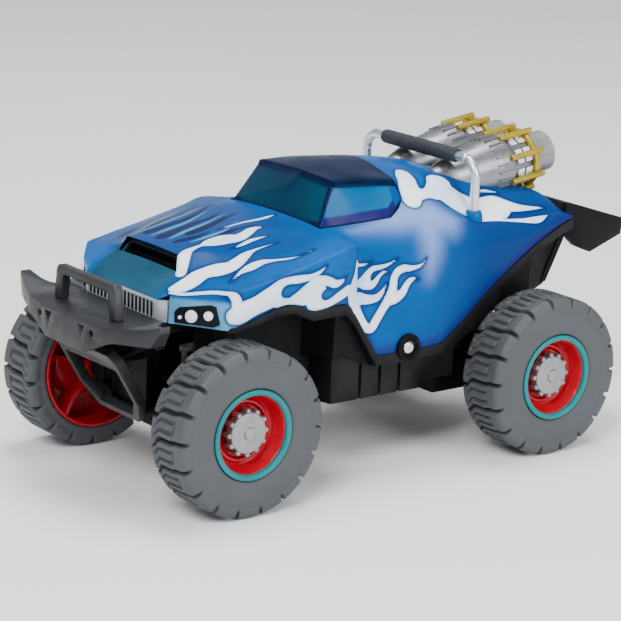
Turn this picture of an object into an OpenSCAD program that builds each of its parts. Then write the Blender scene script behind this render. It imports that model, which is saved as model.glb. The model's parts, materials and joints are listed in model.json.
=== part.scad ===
// RC stunt car: rear-wheel drive, steered front wheels, moulded shell on a black tub.
// +X is the front, +Y the car's left side, +Z up. The tyres stand on z = 0.

/* [Running gear] */
// distance between the front and rear axles
wheelbase = 176; // [150:1:200]
// how far the middle of the wheelbase lies in front of the origin
axle_mid_x = 8; // [0:0.5:15]
// height of the axles above the ground
axle_z = 38; // [30:0.5:45]
// distance from the centre line to a wheel's inner face
wheel_inner_y = 48.5; // [46:0.5:55]
// distance from the centre line to a kingpin
kingpin_y = 42; // [38:0.5:44]
// length of a steering arm, from its kingpin back to the tie rod pin
arm_l = 14; // [10:0.5:18]

/* [Wheels] */
// tyre radius over the lugs
tyre_r = 38; // [30:0.5:45]
// tyre width
tyre_w = 26; // [20:0.5:32]
// lugs round each shoulder of a tyre
lug_count = 18; // [12:1:24]
// radius of the rim's wide inner barrel
rim_r = 29; // [24:0.5:31]
// radius of the tyre's opening on the outer side
tyre_mouth_r = 20.6; // [18:0.1:24]
// radius of the axles
axle_r = 2; // [1.5:0.25:3]
// play between a turning part and its pin or bore
play = 0.05; // [0.01:0.01:0.1]

/* [Shell] */
// wall thickness of the moulded shell
shell_t = 1.8; // [1.2:0.1:3]
// wall thickness of the black inner frame
frame_t = 2; // [1.5:0.1:3]

/* [Jets] */
// distance from the centre line to a jet's axis
jet_y = 15.4; // [14:0.1:20]
// upward tilt of the jets towards the tail
jet_tilt = 8; // [0:0.5:15]
// gold rods round each jet
jet_rods = 8; // [6:1:10]

/* [Gears] */
// gear module
gear_m = 0.6; // [0.5:0.1:1]
// teeth on the motor pinion
pinion_teeth = 10; // [8:1:14]
// teeth on the idler's large wheel
idler_big_teeth = 36; // [28:1:44]
// teeth on the idler's small wheel
idler_small_teeth = 12; // [10:1:16]
// teeth on the axle gear
axle_teeth = 34; // [28:1:40]
// extra centre distance that gives the gears backlash
gear_slack = 0.12; // [0:0.02:0.3]

/* [Hidden] */

$fn = 48;
half_base = wheelbase / 2;
blue = [0.02, 0.42, 0.80];
black = [0.10, 0.10, 0.11];
charcoal = [0.27, 0.28, 0.29];
steel = [0.78, 0.79, 0.80];
gold = [0.80, 0.66, 0.22];
red = [0.86, 0.12, 0.05];

// ---- shared shapes ----

// puts a piece that is drawn about the middle of the wheelbase into the part's own frame
module placed() { translate([axle_mid_x, 0, 0]) children(); }

// the piece and its mirror image on the other side
module both_sides() {
    children();
    mirror([0, 1, 0]) children();
}

// a half row of points, centre first, widened to a full row from right to left
function full_row(r) = concat([for (i = [len(r) - 1:-1:1]) [r[i][0], -r[i][1], r[i][2]]], r);

// moves a point towards a centre by one factor per axis
function shrink(p, c, k) = [for (i = [0:2]) c[i] + (p[i] - c[i]) * k[i]];

// true where a cell lies in one of the windows [row from, row to, column from, column to]
function in_window(r, c, wins) =
    len([for (w = wins) if (r >= w[0] && r < w[1] && c >= w[2] && c < w[3]) 1]) > 0;

// a thin closed skin between two grids of points, with windows left open;
// columns count outwards from column mid, so a window is open on both sides
module skin(outer, inner, wins = [], mid = 0) {
    rows = len(outer);
    cols = len(outer[0]);
    count = rows * cols;
    function id(r, c) = r * cols + c;
    function shut(r, c) = r >= 0 && r < rows - 1 && c >= 0 && c < cols - 1
        && !in_window(r, c >= mid ? c - mid : mid - 1 - c, wins);
    function quad(p, q, s, t) = [[p, q, s], [p, s, t]];
    function wall(p, q) = quad(p, q, q + count, p + count);
    faces = [for (r = [0:rows - 2], c = [0:cols - 2]) if (shut(r, c))
        let (a = id(r, c), b = id(r, c + 1), d = id(r + 1, c), e = id(r + 1, c + 1))
        each concat(
            quad(a, d, e, b),
            quad(a + count, b + count, e + count, d + count),
            shut(r - 1, c) ? [] : wall(a, b),
            shut(r + 1, c) ? [] : wall(e, d),
            shut(r, c - 1) ? [] : wall(d, a),
            shut(r, c + 1) ? [] : wall(b, e))];
    polyhedron(points = concat([for (r = outer) each r], [for (r = inner) each r]), faces = faces);
}

// ---- shell ----

// half of the shell's control grid, nose to tail; each row runs from the centre line
// over the hood and crest and down the side to the lower edge
shell_half = [
    [[109, 0, 81], [109, 28, 81], [106, 33, 81], [101, 40, 81], [92.5, 54, 81], [91.5, 55.5, 81],
        [91, 56, 81], [90.5, 56.2, 81]],
    [[109, 0, 91], [109, 28, 91], [105.5, 33, 94], [103.5, 40, 93.7], [91.5, 56, 96.5],
        [90.5, 57, 93], [90, 57, 88], [89.5, 56.5, 82]],
    [[103, 0, 96], [103, 27.5, 95.7], [102, 31, 95.8], [100, 38.5, 95.4], [88, 57, 97.6],
        [86.5, 58, 93], [86, 58, 87], [86, 57, 82.3]],
    [[95.5, 0, 101.3], [95.5, 23, 100.8], [95, 30, 100], [93, 40, 98.8], [82, 57.5, 98.6],
        [81, 58.5, 94.5], [80.5, 58.5, 89.5], [80.5, 57.5, 84]],
    [[93, 0, 108], [93, 20, 107.5], [91.5, 27.5, 103], [88, 40, 101], [76, 58, 99.8],
        [75, 59, 96], [74.5, 59, 91], [74.5, 58, 86]],
    [[84, 0, 109.5], [84, 21, 108.5], [82, 30, 105.5], [79, 41, 103], [68, 58.3, 101.3],
        [67, 59.2, 97.5], [66.5, 59.2, 93], [66.5, 58, 88.3]],
    [[70, 0, 111.5], [70, 22, 110.7], [69, 32, 108.8], [66, 42, 106.5], [57, 58.5, 103.6],
        [56.5, 59.3, 99.5], [56.5, 59.2, 94.5], [56.5, 57.8, 88.8]],
    [[54, 0, 113.5], [54, 23, 113], [53, 33, 111.5], [51, 43, 109.5], [45, 58.5, 106.3],
        [45, 59.2, 101.5], [45, 58.6, 93.5], [45, 57, 84]],
    [[38, 0, 115], [38, 24, 114.7], [37.5, 34, 113.5], [36.5, 44, 112], [34, 58.3, 109],
        [34, 58.8, 103.5], [34, 57.8, 94.5], [34, 56, 84.5]],
    [[26.8, 0, 116.4], [26.6, 24, 115.7], [26, 34.6, 114.4], [24.5, 46, 113.3], [24, 57.5, 111.3],
        [24, 58, 104.5], [24, 57, 95], [25, 55, 84]],
    [[17, 0, 116], [17, 24, 115.8], [17, 36.3, 115], [17, 45, 112.5], [17, 52, 109],
        [17, 53.5, 102.5], [17, 53.5, 93], [18.5, 53, 78]],
    [[4, 0, 116], [4, 24, 115.8], [4, 37.5, 115.5], [4, 45, 112.5], [4, 50.5, 108],
        [4, 53, 98], [4, 53.5, 80], [5, 53, 57]],
    [[-11.5, 0, 116], [-11.5, 24, 116], [-11.5, 39, 116.5], [-11.5, 45, 113.5], [-11.5, 50.5, 109],
        [-11.5, 53.5, 98], [-11.5, 54, 78], [-11.5, 53.5, 57]],
    [[-21, 0, 136.6], [-21, 28.2, 131.1], [-19, 37, 123], [-19, 44.5, 116], [-19, 50, 110],
        [-19, 53.5, 98], [-19, 54, 78], [-19, 53.5, 57]],
    [[-33, 0, 135.4], [-33, 28, 130.7], [-33, 38, 121.5], [-33, 44, 117.5], [-33, 50, 112],
        [-33, 53.5, 99], [-33, 53.5, 79], [-33, 53, 57.5]],
    [[-48, 0, 132.8], [-48, 27.5, 129.4], [-48, 39, 117], [-48, 44.5, 114], [-48, 49, 110.5],
        [-48, 52.5, 101], [-48, 53, 86], [-48, 52.5, 68]],
    [[-60, 0, 130], [-60, 27, 126.8], [-60, 40, 112], [-60, 44.5, 110.5], [-60, 48.5, 108.5],
        [-60, 52, 103], [-60, 52.3, 92], [-60, 51.5, 77]],
    [[-75, 0, 125.8], [-75, 27, 123], [-75, 40.5, 109.5], [-75, 44, 109], [-75, 47.5, 107.5],
        [-75, 50.5, 103.5], [-75, 51, 97], [-75, 50.5, 87]],
    [[-95, 0, 121.3], [-95, 27.5, 119.5], [-95, 41, 108.5], [-95, 43.5, 108.3], [-95, 46, 107.5],
        [-95, 48.5, 105], [-95, 49, 102], [-95, 48.7, 98]],
    [[-111, 0, 117], [-111, 30, 116], [-111, 42, 109.5], [-111, 43.5, 109.3], [-111, 45.5, 108.8],
        [-111, 47, 107.5], [-111, 47.3, 106], [-111, 47, 104.3]],
    [[-118, 0, 108], [-118, 30, 108], [-118, 42, 107.8], [-118, 43.5, 107.8], [-118, 45, 107.5],
        [-118, 46, 107], [-118, 46.3, 106.5], [-118, 46.3, 106]]];
// rows and columns of the shell that are open: grille, scoop mouth and cab
shell_windows = [[0, 1, 0, 2], [3, 4, 0, 1], [9, 13, 0, 2]];
shell_mid = 7;
shell_core = [0, 0, 60];
shell_k = [1 - shell_t / 115, 1 - shell_t / 57, 1 - shell_t / 52];

// the tilted frame of a jet, with its axis along +X to the tail end
jet_root = [-62, 0, 124.5];
module jet_frame() {
    translate([jet_root[0], jet_y, jet_root[2]])
        rotate([0, jet_tilt - 180, 0])
            children();
}
// the jet's outer line: distance along the axis and radius
jet_line = [[-14, 4], [-6, 7.4], [2, 10], [10, 12], [26, 14.2], [33, 14.6],
    [34, 13], [35.5, 13], [36, 12], [50, 11.4], [51, 10.4], [52, 10.2]];
// how far the rods stand from the jet's axis
rod_ring = 15.2;
nozzle_line = [[52.1, 8.5], [52.1, 10.2], [62.5, 9.8], [62.5, 8.4], [60, 8.4], [53, 7]];

// a turned solid about the jet's axis from points [along, radius]
module turned(line) {
    rotate([0, 90, 0])
        rotate_extrude()
            polygon([for (p = line) [p[1], p[0]]]);
}

module body_shell() color(blue) placed() {
    rows = [for (r = shell_half) full_row(r)];
    cores = [for (r = rows) [for (p = r) shrink(p, shell_core, shell_k)]];
    difference() {
        skin(rows, cores, shell_windows, shell_mid);
        both_sides() jet_frame() turned(concat([[-14.2, 0]],
            [for (p = jet_line) [p[0], p[1] + 0.2]], [[70, 10.4], [70, 0]]));
        // trough round the rods
        both_sides() jet_frame()
            turned([[30.5, 0], [30.5, rod_ring + 1.5], [51.5, rod_ring + 1.5], [51.5, 0]]);
    }
    // sockets that hold the feet of the roll bar
    both_sides() translate([-60, 40.5, 0]) difference() {
        translate([0, 0, 108]) cylinder(r = 4.2, h = 7);
        translate([0, 0, 110]) cylinder(r = 2.2, h = 6);
    }
}

// ---- cab ----

canopy_half = [
    [[26.3, 0, 116.4], [26.2, 18, 116], [26, 28.5, 115.2], [25.8, 32.6, 114.8], [25.6, 34, 114.5]],
    [[15, 0, 134.4], [14.8, 17, 134], [14.4, 25.6, 133.4], [14, 28, 132.6], [12.6, 36.1, 115.3]],
    [[3, 0, 136.2], [3, 18, 134.9], [2.6, 26.8, 133.1], [2, 29, 132.1], [0, 37.3, 115.8]],
    [[-9, 0, 136.8], [-9, 18, 134.3], [-9.6, 27.4, 132.5], [-10.5, 29.8, 131.5], [-11.3, 38.6, 116.8]],
    [[-20.6, 0, 136.4], [-20.6, 20, 132.7], [-20.6, 28, 130.9], [-19.6, 32.3, 127.3],
        [-18.7, 36.6, 123.2]]];
canopy_core = [0, 0, 100];
canopy_k = [0.94, 0.955, 0.965];

module canopy() color([0.05, 0.55, 0.60, 0.6]) placed() {
    rows = [for (r = canopy_half) full_row(r)];
    skin(rows, [for (r = rows) [for (p = r) shrink(p, canopy_core, canopy_k)]]);
}

module roof_panel() color([0.03, 0.04, 0.12]) placed() {
    rows = [for (i = [1:4]) full_row([for (j = [0:2]) canopy_half[i][j]])];
    skin([for (r = rows) [for (p = r) p + [0, 0, 1.1]]], [for (r = rows) [for (p = r) p + [0, 0, 0.1]]]);
}

module cockpit_tray() color(black) placed() difference() {
    translate([0, 0, 107]) linear_extrude(7)
        polygon([[21, -33], [21, 33], [-13, 36], [-17, 34], [-17, -34], [-13, -36]]);
    translate([0, 0, 109]) linear_extrude(7)
        polygon([[18, -30], [18, 30], [-12, 33], [-15, 31], [-15, -31], [-12, -33]]);
}

// ---- nose ----

module scoop_insert() color(black) placed() difference() {
    translate([92.4, 0, 0]) rotate([90, 0, -90]) linear_extrude(9)
        polygon([[-21.6, 100.2], [21.6, 100.2], [18.5, 106], [-18.5, 106]]);
    translate([93, 0, 0]) rotate([90, 0, -90]) linear_extrude(6)
        polygon([[-19.6, 101.2], [19.6, 101.2], [17, 105], [-17, 105]]);
}

grille_slots = 8;
module grille() color(steel) placed() difference() {
    translate([0, 0, 81.2]) linear_extrude(9.6)
        polygon([[109.4, -28], [109.4, 28], [106.6, 32.6], [104.4, 31.4], [106.6, 27], [106.6, -27],
            [104.4, -31.4], [106.6, -32.6]]);
    both_sides() for (i = [0:grille_slots - 1])
        translate([100, 2.4 + i * 3, 82.4]) cube([12, 2.1, 7]);
}

// a headlight's frame: X out of the panel, Y along it from its front edge, Z up
module headlight_frame() {
    translate([106, 33, 0])
        rotate([0, 0, atan2(23, -15) - 90])
            children();
}
module headlight_bezels() color(black) placed() both_sides() headlight_frame()
    translate([0.15, 0, 0]) rotate([90, 0, 90]) linear_extrude(1.4)
        polygon([[3.2, 82], [21.5, 82], [24.4, 83.5], [22.5, 91.2], [20, 91.8], [5.4, 89.2], [3.2, 87]]);

module headlight_lenses() color([0.93, 0.95, 0.98]) placed() both_sides() headlight_frame()
    for (p = [[11.4, 85.9, 2.8], [19.4, 87, 2.1], [6.2, 85, 0.8]])
        translate([1.6, p[0], p[1]]) rotate([0, 90, 0]) {
            cylinder(r = p[2], h = 0.9);
            translate([0, 0, 0.9]) cylinder(r1 = p[2], r2 = p[2] * 0.55, h = 0.8);
        }

// ---- front bumper and skid cage ----

bumper_front = [[139, 0], [138.6, 15], [137.3, 30.3], [133, 42], [126.5, 57]];
bumper_back = [[121.5, 57], [119, 44], [112, 37], [110, 30], [110, 0]];
function outline(front, back) = concat([for (i = [len(front) - 1:-1:1]) [front[i][0], -front[i][1]]],
    front, back, [for (i = [len(back) - 2:-1:0]) [back[i][0], -back[i][1]]]);

// the bumper's face from the front, lifted at the ends
module bumper_face(drop) {
    top = [[0, 82.5], [30.3, 82.5], [39, 83.4], [50, 85], [57, 87.4]];
    low = [[57, 84.5], [52.4, 77.5], [36, 76.4], [30, 75], [15.1, 68.2], [0, 68.2]];
    right = [for (p = concat(top, low)) [p[0], p[1] - drop]];
    left = [for (i = [len(right) - 2:-1:1]) [-right[i][0], right[i][1]]];
    rotate([90, 0, 90]) linear_extrude(200) polygon(concat(right, left));
}
module front_bumper() color(charcoal) placed() difference() {
    intersection() {
        translate([0, 0, 60]) linear_extrude(40) polygon(outline(bumper_front, bumper_back));
        bumper_face(0);
    }
    // hollow under the deck
    intersection() {
        translate([-4.5, 0, 60]) linear_extrude(40) polygon(outline(bumper_front, bumper_back));
        translate([-4.5, 0, 60]) linear_extrude(40) square([400, 96], center = true);
        bumper_face(3);
    }
    // recesses in the fascia
    both_sides() translate([150, 0, 0]) rotate([90, 0, -90]) linear_extrude(15)
        polygon([[-10.6, 80.2], [-16, 80.2], [-13, 74]]);
    both_sides() translate([125, 21, 77.8]) rotate([0, 90, 0]) cylinder(r = 1.6, h = 20);
}

module bull_bar() color(charcoal) placed() translate([123.6, 0, 0]) rotate([90, 0, 90]) linear_extrude(4.5)
    difference() {
        polygon([[-25.5, 82.5], [25.5, 82.5], [24, 96], [22.5, 98.2], [-22.5, 98.2], [-24, 96]]);
        polygon([[-19.5, 82.4], [19.5, 82.4], [18.5, 92.5], [17.5, 94], [-17.5, 94], [-18.5, 92.5]]);
    }

// the cage's bars, in its own plane: two posts, a foot and a cross bar
module skid_cage() color(charcoal) placed() {
    lean = atan2(126 - 106.6, 68 - 35);
    translate([105, 0, 34]) rotate([0, lean, 0]) rotate([90, 0, 90]) linear_extrude(4.5)
        difference() {
            polygon([[-16, 0], [16, 0], [24.5, 12], [24, 36], [20, 40], [-20, 40], [-24, 36], [-24.5, 12]]);
            polygon([[-13.5, 3.4], [13.5, 3.4], [21, 13], [21, 31.5], [-21, 31.5], [-21, 13]]);
        }
    // arms back to the chassis floor
    both_sides() translate([100, 9, 32]) cube([8, 5, 3]);
    // tabs to the nose block
    both_sides() translate([120, 8, 63]) cube([5, 4, 4]);
}

// how steeply the struts rise towards the bumper's ends
strut_rise = 25;
module bumper_struts() color(black) placed() {
    both_sides() {
        translate([115, 13, 61.4]) rotate([strut_rise, 0, 0]) cube([4, 33, 3]);
        translate([115, 41.5, 73]) cube([4, 2.5, 7.8]);
    }
    translate([104, -14, 60]) cube([9, 28, 16.5]);
    translate([113, -14, 60]) cube([7, 28, 19.5]);
}

// ---- black frame under the shell ----

// for each row of the shell, the lowest point of the black inner wall
frame_low = [[92, 34, 66], [90, 34, 64], [86, 34, 62], [80, 34, 60], [74, 34, 58], [66, 34, 57],
    [56, 34, 57], [45, 34, 57], [34, 34, 57], [26, 47.6, 57.2], [18, 48.1, 57.2], [5, 48.1, 51],
    [-11.5, 48.1, 51],
    [-19, 48.1, 51], [-33, 48.1, 51], [-48, 48, 55], [-60, 46, 60], [-75, 44, 67], [-95, 43, 71],
    [-107, 40, 74], [-117, 40, 92]];
module upper_frame() color(black) placed() {
    edge = [for (r = shell_half) r[7]];
    // the lip is shallow over the front wheel and full depth from the door back
    lip = [for (i = [0:len(edge) - 1]) min(1.8 + 0.4 * i, 5)];
    rows = [for (i = [0:len(edge) - 1]) [
        edge[i] + [0, 0.8, -0.15], edge[i] + [0, 0.5, -lip[i]],
        [frame_low[i][0], frame_low[i][1] + 1.2, edge[i][2] - lip[i] - 0.6],
        frame_low[i]]];
    cores = [for (i = [0:len(edge) - 1]) [
        edge[i] + [0, -2.5, -0.15], edge[i] + [0, -2.3, 1 - lip[i] * 0.8],
        [frame_low[i][0], frame_low[i][1] + 1.2 - frame_t, edge[i][2] - lip[i] + 1.4],
        frame_low[i] + [0, -frame_t, 0]]];
    both_sides() skin(rows, cores);
    // panel across the tail, under the spoiler
    rotate([90, 0, 0]) linear_extrude(82, center = true)
        polygon([[-104.5, 75], [-107.5, 75], [-117.8, 95], [-118, 107], [-115, 107], [-114.6, 96]]);
    // nose plate that carries the bumper and the grille
    translate([88, -34, 76.5]) cube([22, 68, 4.4]);
    // cross members that rest on the tub
    translate([30, -34, 57]) cube([5, 68, 3]);
    translate([-47, -46, 57]) cube([4, 92, 3]);
}

// ---- tub ----

tub_outline = [[104, -14], [104, 14], [98, 32], [28, 33], [25, 46], [-47, 46], [-49, 30], [-49, -30],
    [-47, -46], [25, -46], [28, -33], [98, -32]];
tub_pocket = [[66, -31], [66, 31], [27, 31], [24, 44], [-45, 44], [-47, 28], [-47, -28], [-45, -44],
    [24, -44], [27, -31]];
door_x = [-25, 22];
door_y = 26;
hinge_z = 36.4;
pillar_r = 3;
board_x = [-34, 14];
board_z = 59;

module kingpin_holes(r) {
    both_sides() translate([half_base, kingpin_y, 20]) cylinder(r = r, h = 40);
}

module chassis_tub() color(black) placed() difference() {
    union() {
        difference() {
            translate([0, 0, 35]) linear_extrude(22) polygon(tub_outline);
            translate([0, 0, 37.5]) linear_extrude(30) polygon(tub_pocket);
            // space over the front floor for the tie rod, knuckles and servo
            translate([66, -60, 37.5]) cube([60, 120, 30]);
            // raised belly behind the ribs
            translate([-60, -60, 30]) cube([33, 120, 8.5]);
            // side grooves
            both_sides() for (x = [7.5, -4, -15.5]) translate([x, 44.8, 30]) cube([1.8, 4, 22]);
        }
        translate([-52, -46, 38.4]) intersection() {
            cube([26, 92, 2.4]);
            translate([52, 46, 0]) linear_extrude(3) polygon(tub_outline);
        }
        // lower and upper arms that hold the kingpins
        for (z = [25, 48.3]) translate([half_base - 7, -46.5, z]) cube([14, 93, 3]);
        both_sides() translate([half_base - 7, 29, 27]) cube([14, 4, 22]);
        // bulkhead that carries the nose
        translate([98, -14, 36]) cube([6, 28, 40.5]);
        // battery bay
        difference() {
            translate([door_x[0] - 2.5, -door_y - 2.5, 36])
                cube([door_x[1] - door_x[0] + 5, 2 * door_y + 5, 18]);
            translate([door_x[0], -door_y, 30]) cube([door_x[1] - door_x[0], 2 * door_y, 22]);
        }
        // flat pad for a stand
        translate([50, -20, 34.4]) cube([26, 40, 1]);
        // posts for the circuit board
        both_sides() for (x = board_x) translate([x, 33, 37]) cylinder(r = pillar_r, h = board_z - 37);
        // hinge ears for the battery door, and the spine behind it
        both_sides() translate([door_x[1] + 1.2, door_y - 5, 34.2]) cube([4.4, 4, 3.4]);
    }
    kingpin_holes(1.5);
    // battery opening
    translate([door_x[0], -door_y, 30]) cube([door_x[1] - door_x[0], 2 * door_y, 12]);
    translate([door_x[1] - 0.1, -door_y + 5.2, 30]) cube([6.5, 2 * door_y - 10.4, 8]);
    translate([door_x[1] + 3.4, 30, hinge_z - 0.6]) rotate([90, 0, 0]) cylinder(r = 1.05, h = 60);
    // slot for the power switch
    translate([36, 14, 30]) cube([12, 4, 12]);
}

module kingpins() color(steel) placed() both_sides()
    translate([half_base, kingpin_y, 24]) {
        cylinder(r = 1.5, h = 27.6);
        translate([0, 0, 27.4]) cylinder(r = 2.6, h = 1.2);
    }

module battery_door() color(black) placed() {
    translate([door_x[0] + 0.3, -door_y + 0.3, 35])
        cube([door_x[1] - door_x[0] - 0.6, 2 * door_y - 0.6, 1.8]);
    translate([door_x[1] - 0.4, -door_y + 5.5, 35]) cube([3.8, 2 * door_y - 11, 1.8]);
    translate([door_x[1] + 3.4, 0, hinge_z - 0.6]) rotate([90, 0, 0]) {
        cylinder(r = 0.9, h = 2 * door_y - 11, center = true);
        cylinder(r = 1, h = 2 * door_y - 3, center = true);
    }
    for (x = [-21, -17, -13]) translate([x, -10, 34.2]) cube([2, 20, 1]);
}

battery_r = 7.2;
module battery_pack() color([0.16, 0.35, 0.22]) placed() for (i = [0:2])
    translate([-16.6 + i * 15, 25, 37.2 + battery_r]) rotate([90, 0, 0]) {
        cylinder(r = battery_r, h = 48.5);
        translate([0, 0, 48.5]) cylinder(r = 2.6, h = 1.2);
    }

module circuit_board() color([0.05, 0.35, 0.15]) placed() {
    translate([board_x[0] - 5, -37, board_z]) cube([board_x[1] - board_x[0] + 10, 74, 1.6]);
    translate([-12, -8, board_z + 1.6]) cube([14, 14, 2]);
    translate([6, 12, board_z + 1.6]) cube([8, 10, 6]);
    for (y = [-24, -16]) translate([-26, y, board_z + 1.6]) cylinder(r = 3, h = 9);
}

module power_switch() color(black) placed() {
    translate([38.2, 14.4, 33.4]) cube([4, 3.2, 5.6]);
    translate([37, 12.6, 37.8]) cube([7, 6.8, 1.4]);
}

module side_screw_cups() color(black) placed() both_sides()
    translate([-12.5, 53.4, 58.7]) rotate([-90, 0, 0]) difference() {
        cylinder(r = 6.4, h = 2.2);
        translate([0, 0, 0.9]) cylinder(r = 4.6, h = 2);
    }

module side_screws() color(steel) placed() both_sides()
    translate([-12.5, 54.3, 58.7]) rotate([-90, 0, 0]) difference() {
        cylinder(r = 2.9, h = 1.6);
        for (a = [0, 90]) rotate([0, 0, a]) translate([-1.6, -0.35, 0.7]) cube([3.2, 0.7, 2]);
    }

// ---- tail, roll bar and jets ----

module tail_spoiler() color(black) placed() {
    // plate
    rotate([90, 0, 0]) linear_extrude(80, center = true)
        polygon([[-116.2, 107.4], [-118.5, 112.4], [-136, 107.6], [-155, 101], [-153.6, 97.6],
            [-135, 104.2]]);
    // end plates
    both_sides() translate([0, 43, 0]) rotate([90, 0, 0]) linear_extrude(3.4)
        polygon([[-116.2, 107], [-117, 112.6], [-120, 112.6], [-155, 101.6], [-153.6, 93.8],
            [-133.8, 86.9], [-124, 91], [-116.2, 98]]);
}

bar_r = 2.2;
bar_bend = 8;
bar_top = 138.5;
bar_y = 40.5;
module roll_bar() color(steel) placed() translate([-60, 0, 0]) {
    both_sides() {
        translate([0, bar_y, 110.2]) cylinder(r = bar_r, h = bar_top - bar_bend - 110.2);
        translate([0, bar_y - bar_bend, bar_top - bar_bend]) rotate([90, 0, 90])
            rotate_extrude(angle = 90) translate([bar_bend, 0]) circle(r = bar_r);
    }
    translate([0, bar_y - bar_bend, bar_top]) rotate([90, 0, 0])
        cylinder(r = bar_r, h = 2 * (bar_y - bar_bend));
}
module roll_bar_grip() color([0.20, 0.25, 0.30]) placed() translate([-60, 27, bar_top]) rotate([90, 0, 0])
    difference() {
        cylinder(r = 3.4, h = 54);
        translate([0, 0, -1]) cylinder(r = bar_r + play, h = 56);
    }

// side is 1 for the left jet and -1 for the right one
module jet_side(side) {
    if (side > 0) jet_frame() children();
    else mirror([0, 1, 0]) jet_frame() children();
}
module jet_housing(side) color(steel) placed() jet_side(side)
    turned(concat([[-14, 0]], jet_line, [[52, 0]]));
module jet_nozzle(side) color([0.5, 0.5, 0.52]) placed() jet_side(side) turned(nozzle_line);
module jet_rod_set(side) color(gold) placed() jet_side(side) {
    for (i = [0:jet_rods - 1]) rotate([(i + 0.5) * 360 / jet_rods, 0, 0])
        translate([31, 0, rod_ring]) rotate([0, 90, 0]) cylinder(r = 1.2, h = 20, $fn = 24);
    translate([46, 0, 0]) turned([[0, 11.75], [0, 14.4], [3, 14.4], [3, 11.6]]);
}

// ---- wheels ----

// a wheel's frame: Z from its inner face outwards
module wheel_frame(front, side) {
    translate([(front > 0 ? 1 : -1) * half_base, side * wheel_inner_y, axle_z])
        rotate([-90 * side, 0, 0])
            children();
}

lug_h = 2.9;
module tyre_solid() {
    carcass = tyre_r - lug_h;
    rotate_extrude($fn = 72) polygon([[rim_r, 0.6], [rim_r, 19.9], [tyre_mouth_r, 22.6],
        [tyre_mouth_r, tyre_w - 1], [tyre_mouth_r + 1.4, tyre_w], [carcass - 2, tyre_w],
        [carcass, tyre_w - 1.4], [carcass, 1.4], [carcass - 2, 0], [rim_r + 1, 0]]);
    pitch = 360 / lug_count;
    for (s = [0, 1]) translate([0, 0, s ? tyre_w / 2 + 0.6 : 1]) linear_extrude(tyre_w / 2 - 1.6)
        intersection() {
            difference() {
                circle(r = tyre_r, $fn = 144);
                circle(r = carcass - 0.8, $fn = 72);
            }
            for (i = [0:lug_count - 1]) rotate([0, 0, (i + s / 2) * pitch - 90]) polygon(
                [[30, -3.7], [tyre_r + 2, -3.1], [tyre_r + 2, 3.1], [30, 3.7]]);
        }
}
module rim_solid(bore) {
    difference() {
        union() {
            rotate_extrude($fn = 72) polygon([[rim_r - 2, 0], [rim_r - 0.1, 0], [rim_r - 0.1, 19.8],
                [tyre_mouth_r - 0.2, 22.4], [tyre_mouth_r - 0.2, 23.6], [17.7, 23.6], [16.4, 17.5],
                [14, 16], [14, 17.2], [12.4, 17.2], [12, 15.4], [5, 15.4], [5, 13.4], [13, 13.4], [16, 14],
                [18.2, 20.4], [rim_r - 2, 18]]);
            translate([0, 0, 4]) cylinder(r = 5.2, h = 13);
            for (i = [0:4]) rotate([0, 0, i * 72]) translate([4.2, -0.9, 5.3])
                cube([rim_r - 5.4, 1.8, 8.4]);
        }
        translate([0, 0, -1]) cylinder(r = bore, h = 30);
    }
}
module ring_solid() rotate_extrude($fn = 72)
    polygon([[17.8, 23.7], [20.3, 23.7], [20.3, 25.6], [19.8, 26], [18.3, 26], [17.8, 25.4]]);
module hubcap_solid() difference() {
    union() {
        translate([0, 0, 17.1]) cylinder(r = 9.3, h = 4.4);
        translate([0, 0, 21.4]) cylinder(r1 = 8.6, r2 = 6.5, h = 1);
        for (i = [0:11]) rotate([0, 0, i * 30]) translate([9.6, 0, 17.1]) cylinder(r = 1.3, h = 4, $fn = 24);
    }
    translate([0, 0, 17]) cylinder(r = axle_r + 0.3, h = 2.6);
    translate([0, 0, 21.3]) cylinder(r = 2.4, h = 3);
}

module tyre(front, side) color([0.43, 0.45, 0.47]) placed() wheel_frame(front, side) tyre_solid();
module rim(front, side) color(red) placed() wheel_frame(front, side)
    rim_solid(front > 0 ? axle_r + play : axle_r);
module wheel_ring(front, side) color([0.15, 0.66, 0.66]) placed() wheel_frame(front, side) ring_solid();
module hubcap(front, side) color([0.75, 0.76, 0.77]) placed() wheel_frame(front, side) hubcap_solid();

// ---- steering ----

knuckle_h = 19.6;
arm_top = 41;
module knuckle(side) color(black) placed() scale([1, side, 1]) difference() {
    union() {
        translate([half_base - 5, kingpin_y - 4, axle_z - knuckle_h / 2]) cube([10, 8, knuckle_h]);
        translate([half_base, kingpin_y + 3.9, axle_z]) rotate([-90, 0, 0]) cylinder(r = 4.5, h = 4);
        translate([half_base - arm_l, kingpin_y, arm_top - 3]) cylinder(r = 3, h = 3);
        translate([half_base - arm_l, kingpin_y - 2.4, arm_top - 3]) cube([arm_l, 4.8, 3]);
        translate([half_base - arm_l, kingpin_y, arm_top - 0.1]) cylinder(r = 1.5, h = 4.6);
    }
    translate([half_base, kingpin_y, 20]) cylinder(r = 1.5 + play, h = 40);
    translate([half_base, kingpin_y + 2, axle_z]) rotate([-90, 0, 0]) cylinder(r = axle_r, h = 10);
}
module stub_axle(side) color(steel) placed() scale([1, side, 1])
    translate([half_base, kingpin_y + 2.2, axle_z]) rotate([-90, 0, 0]) {
        cylinder(r = axle_r, h = wheel_inner_y + 17.6 - kingpin_y - 2.2);
        translate([0, 0, 5.8]) cylinder(r = 3.4, h = 1);
    }

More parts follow.
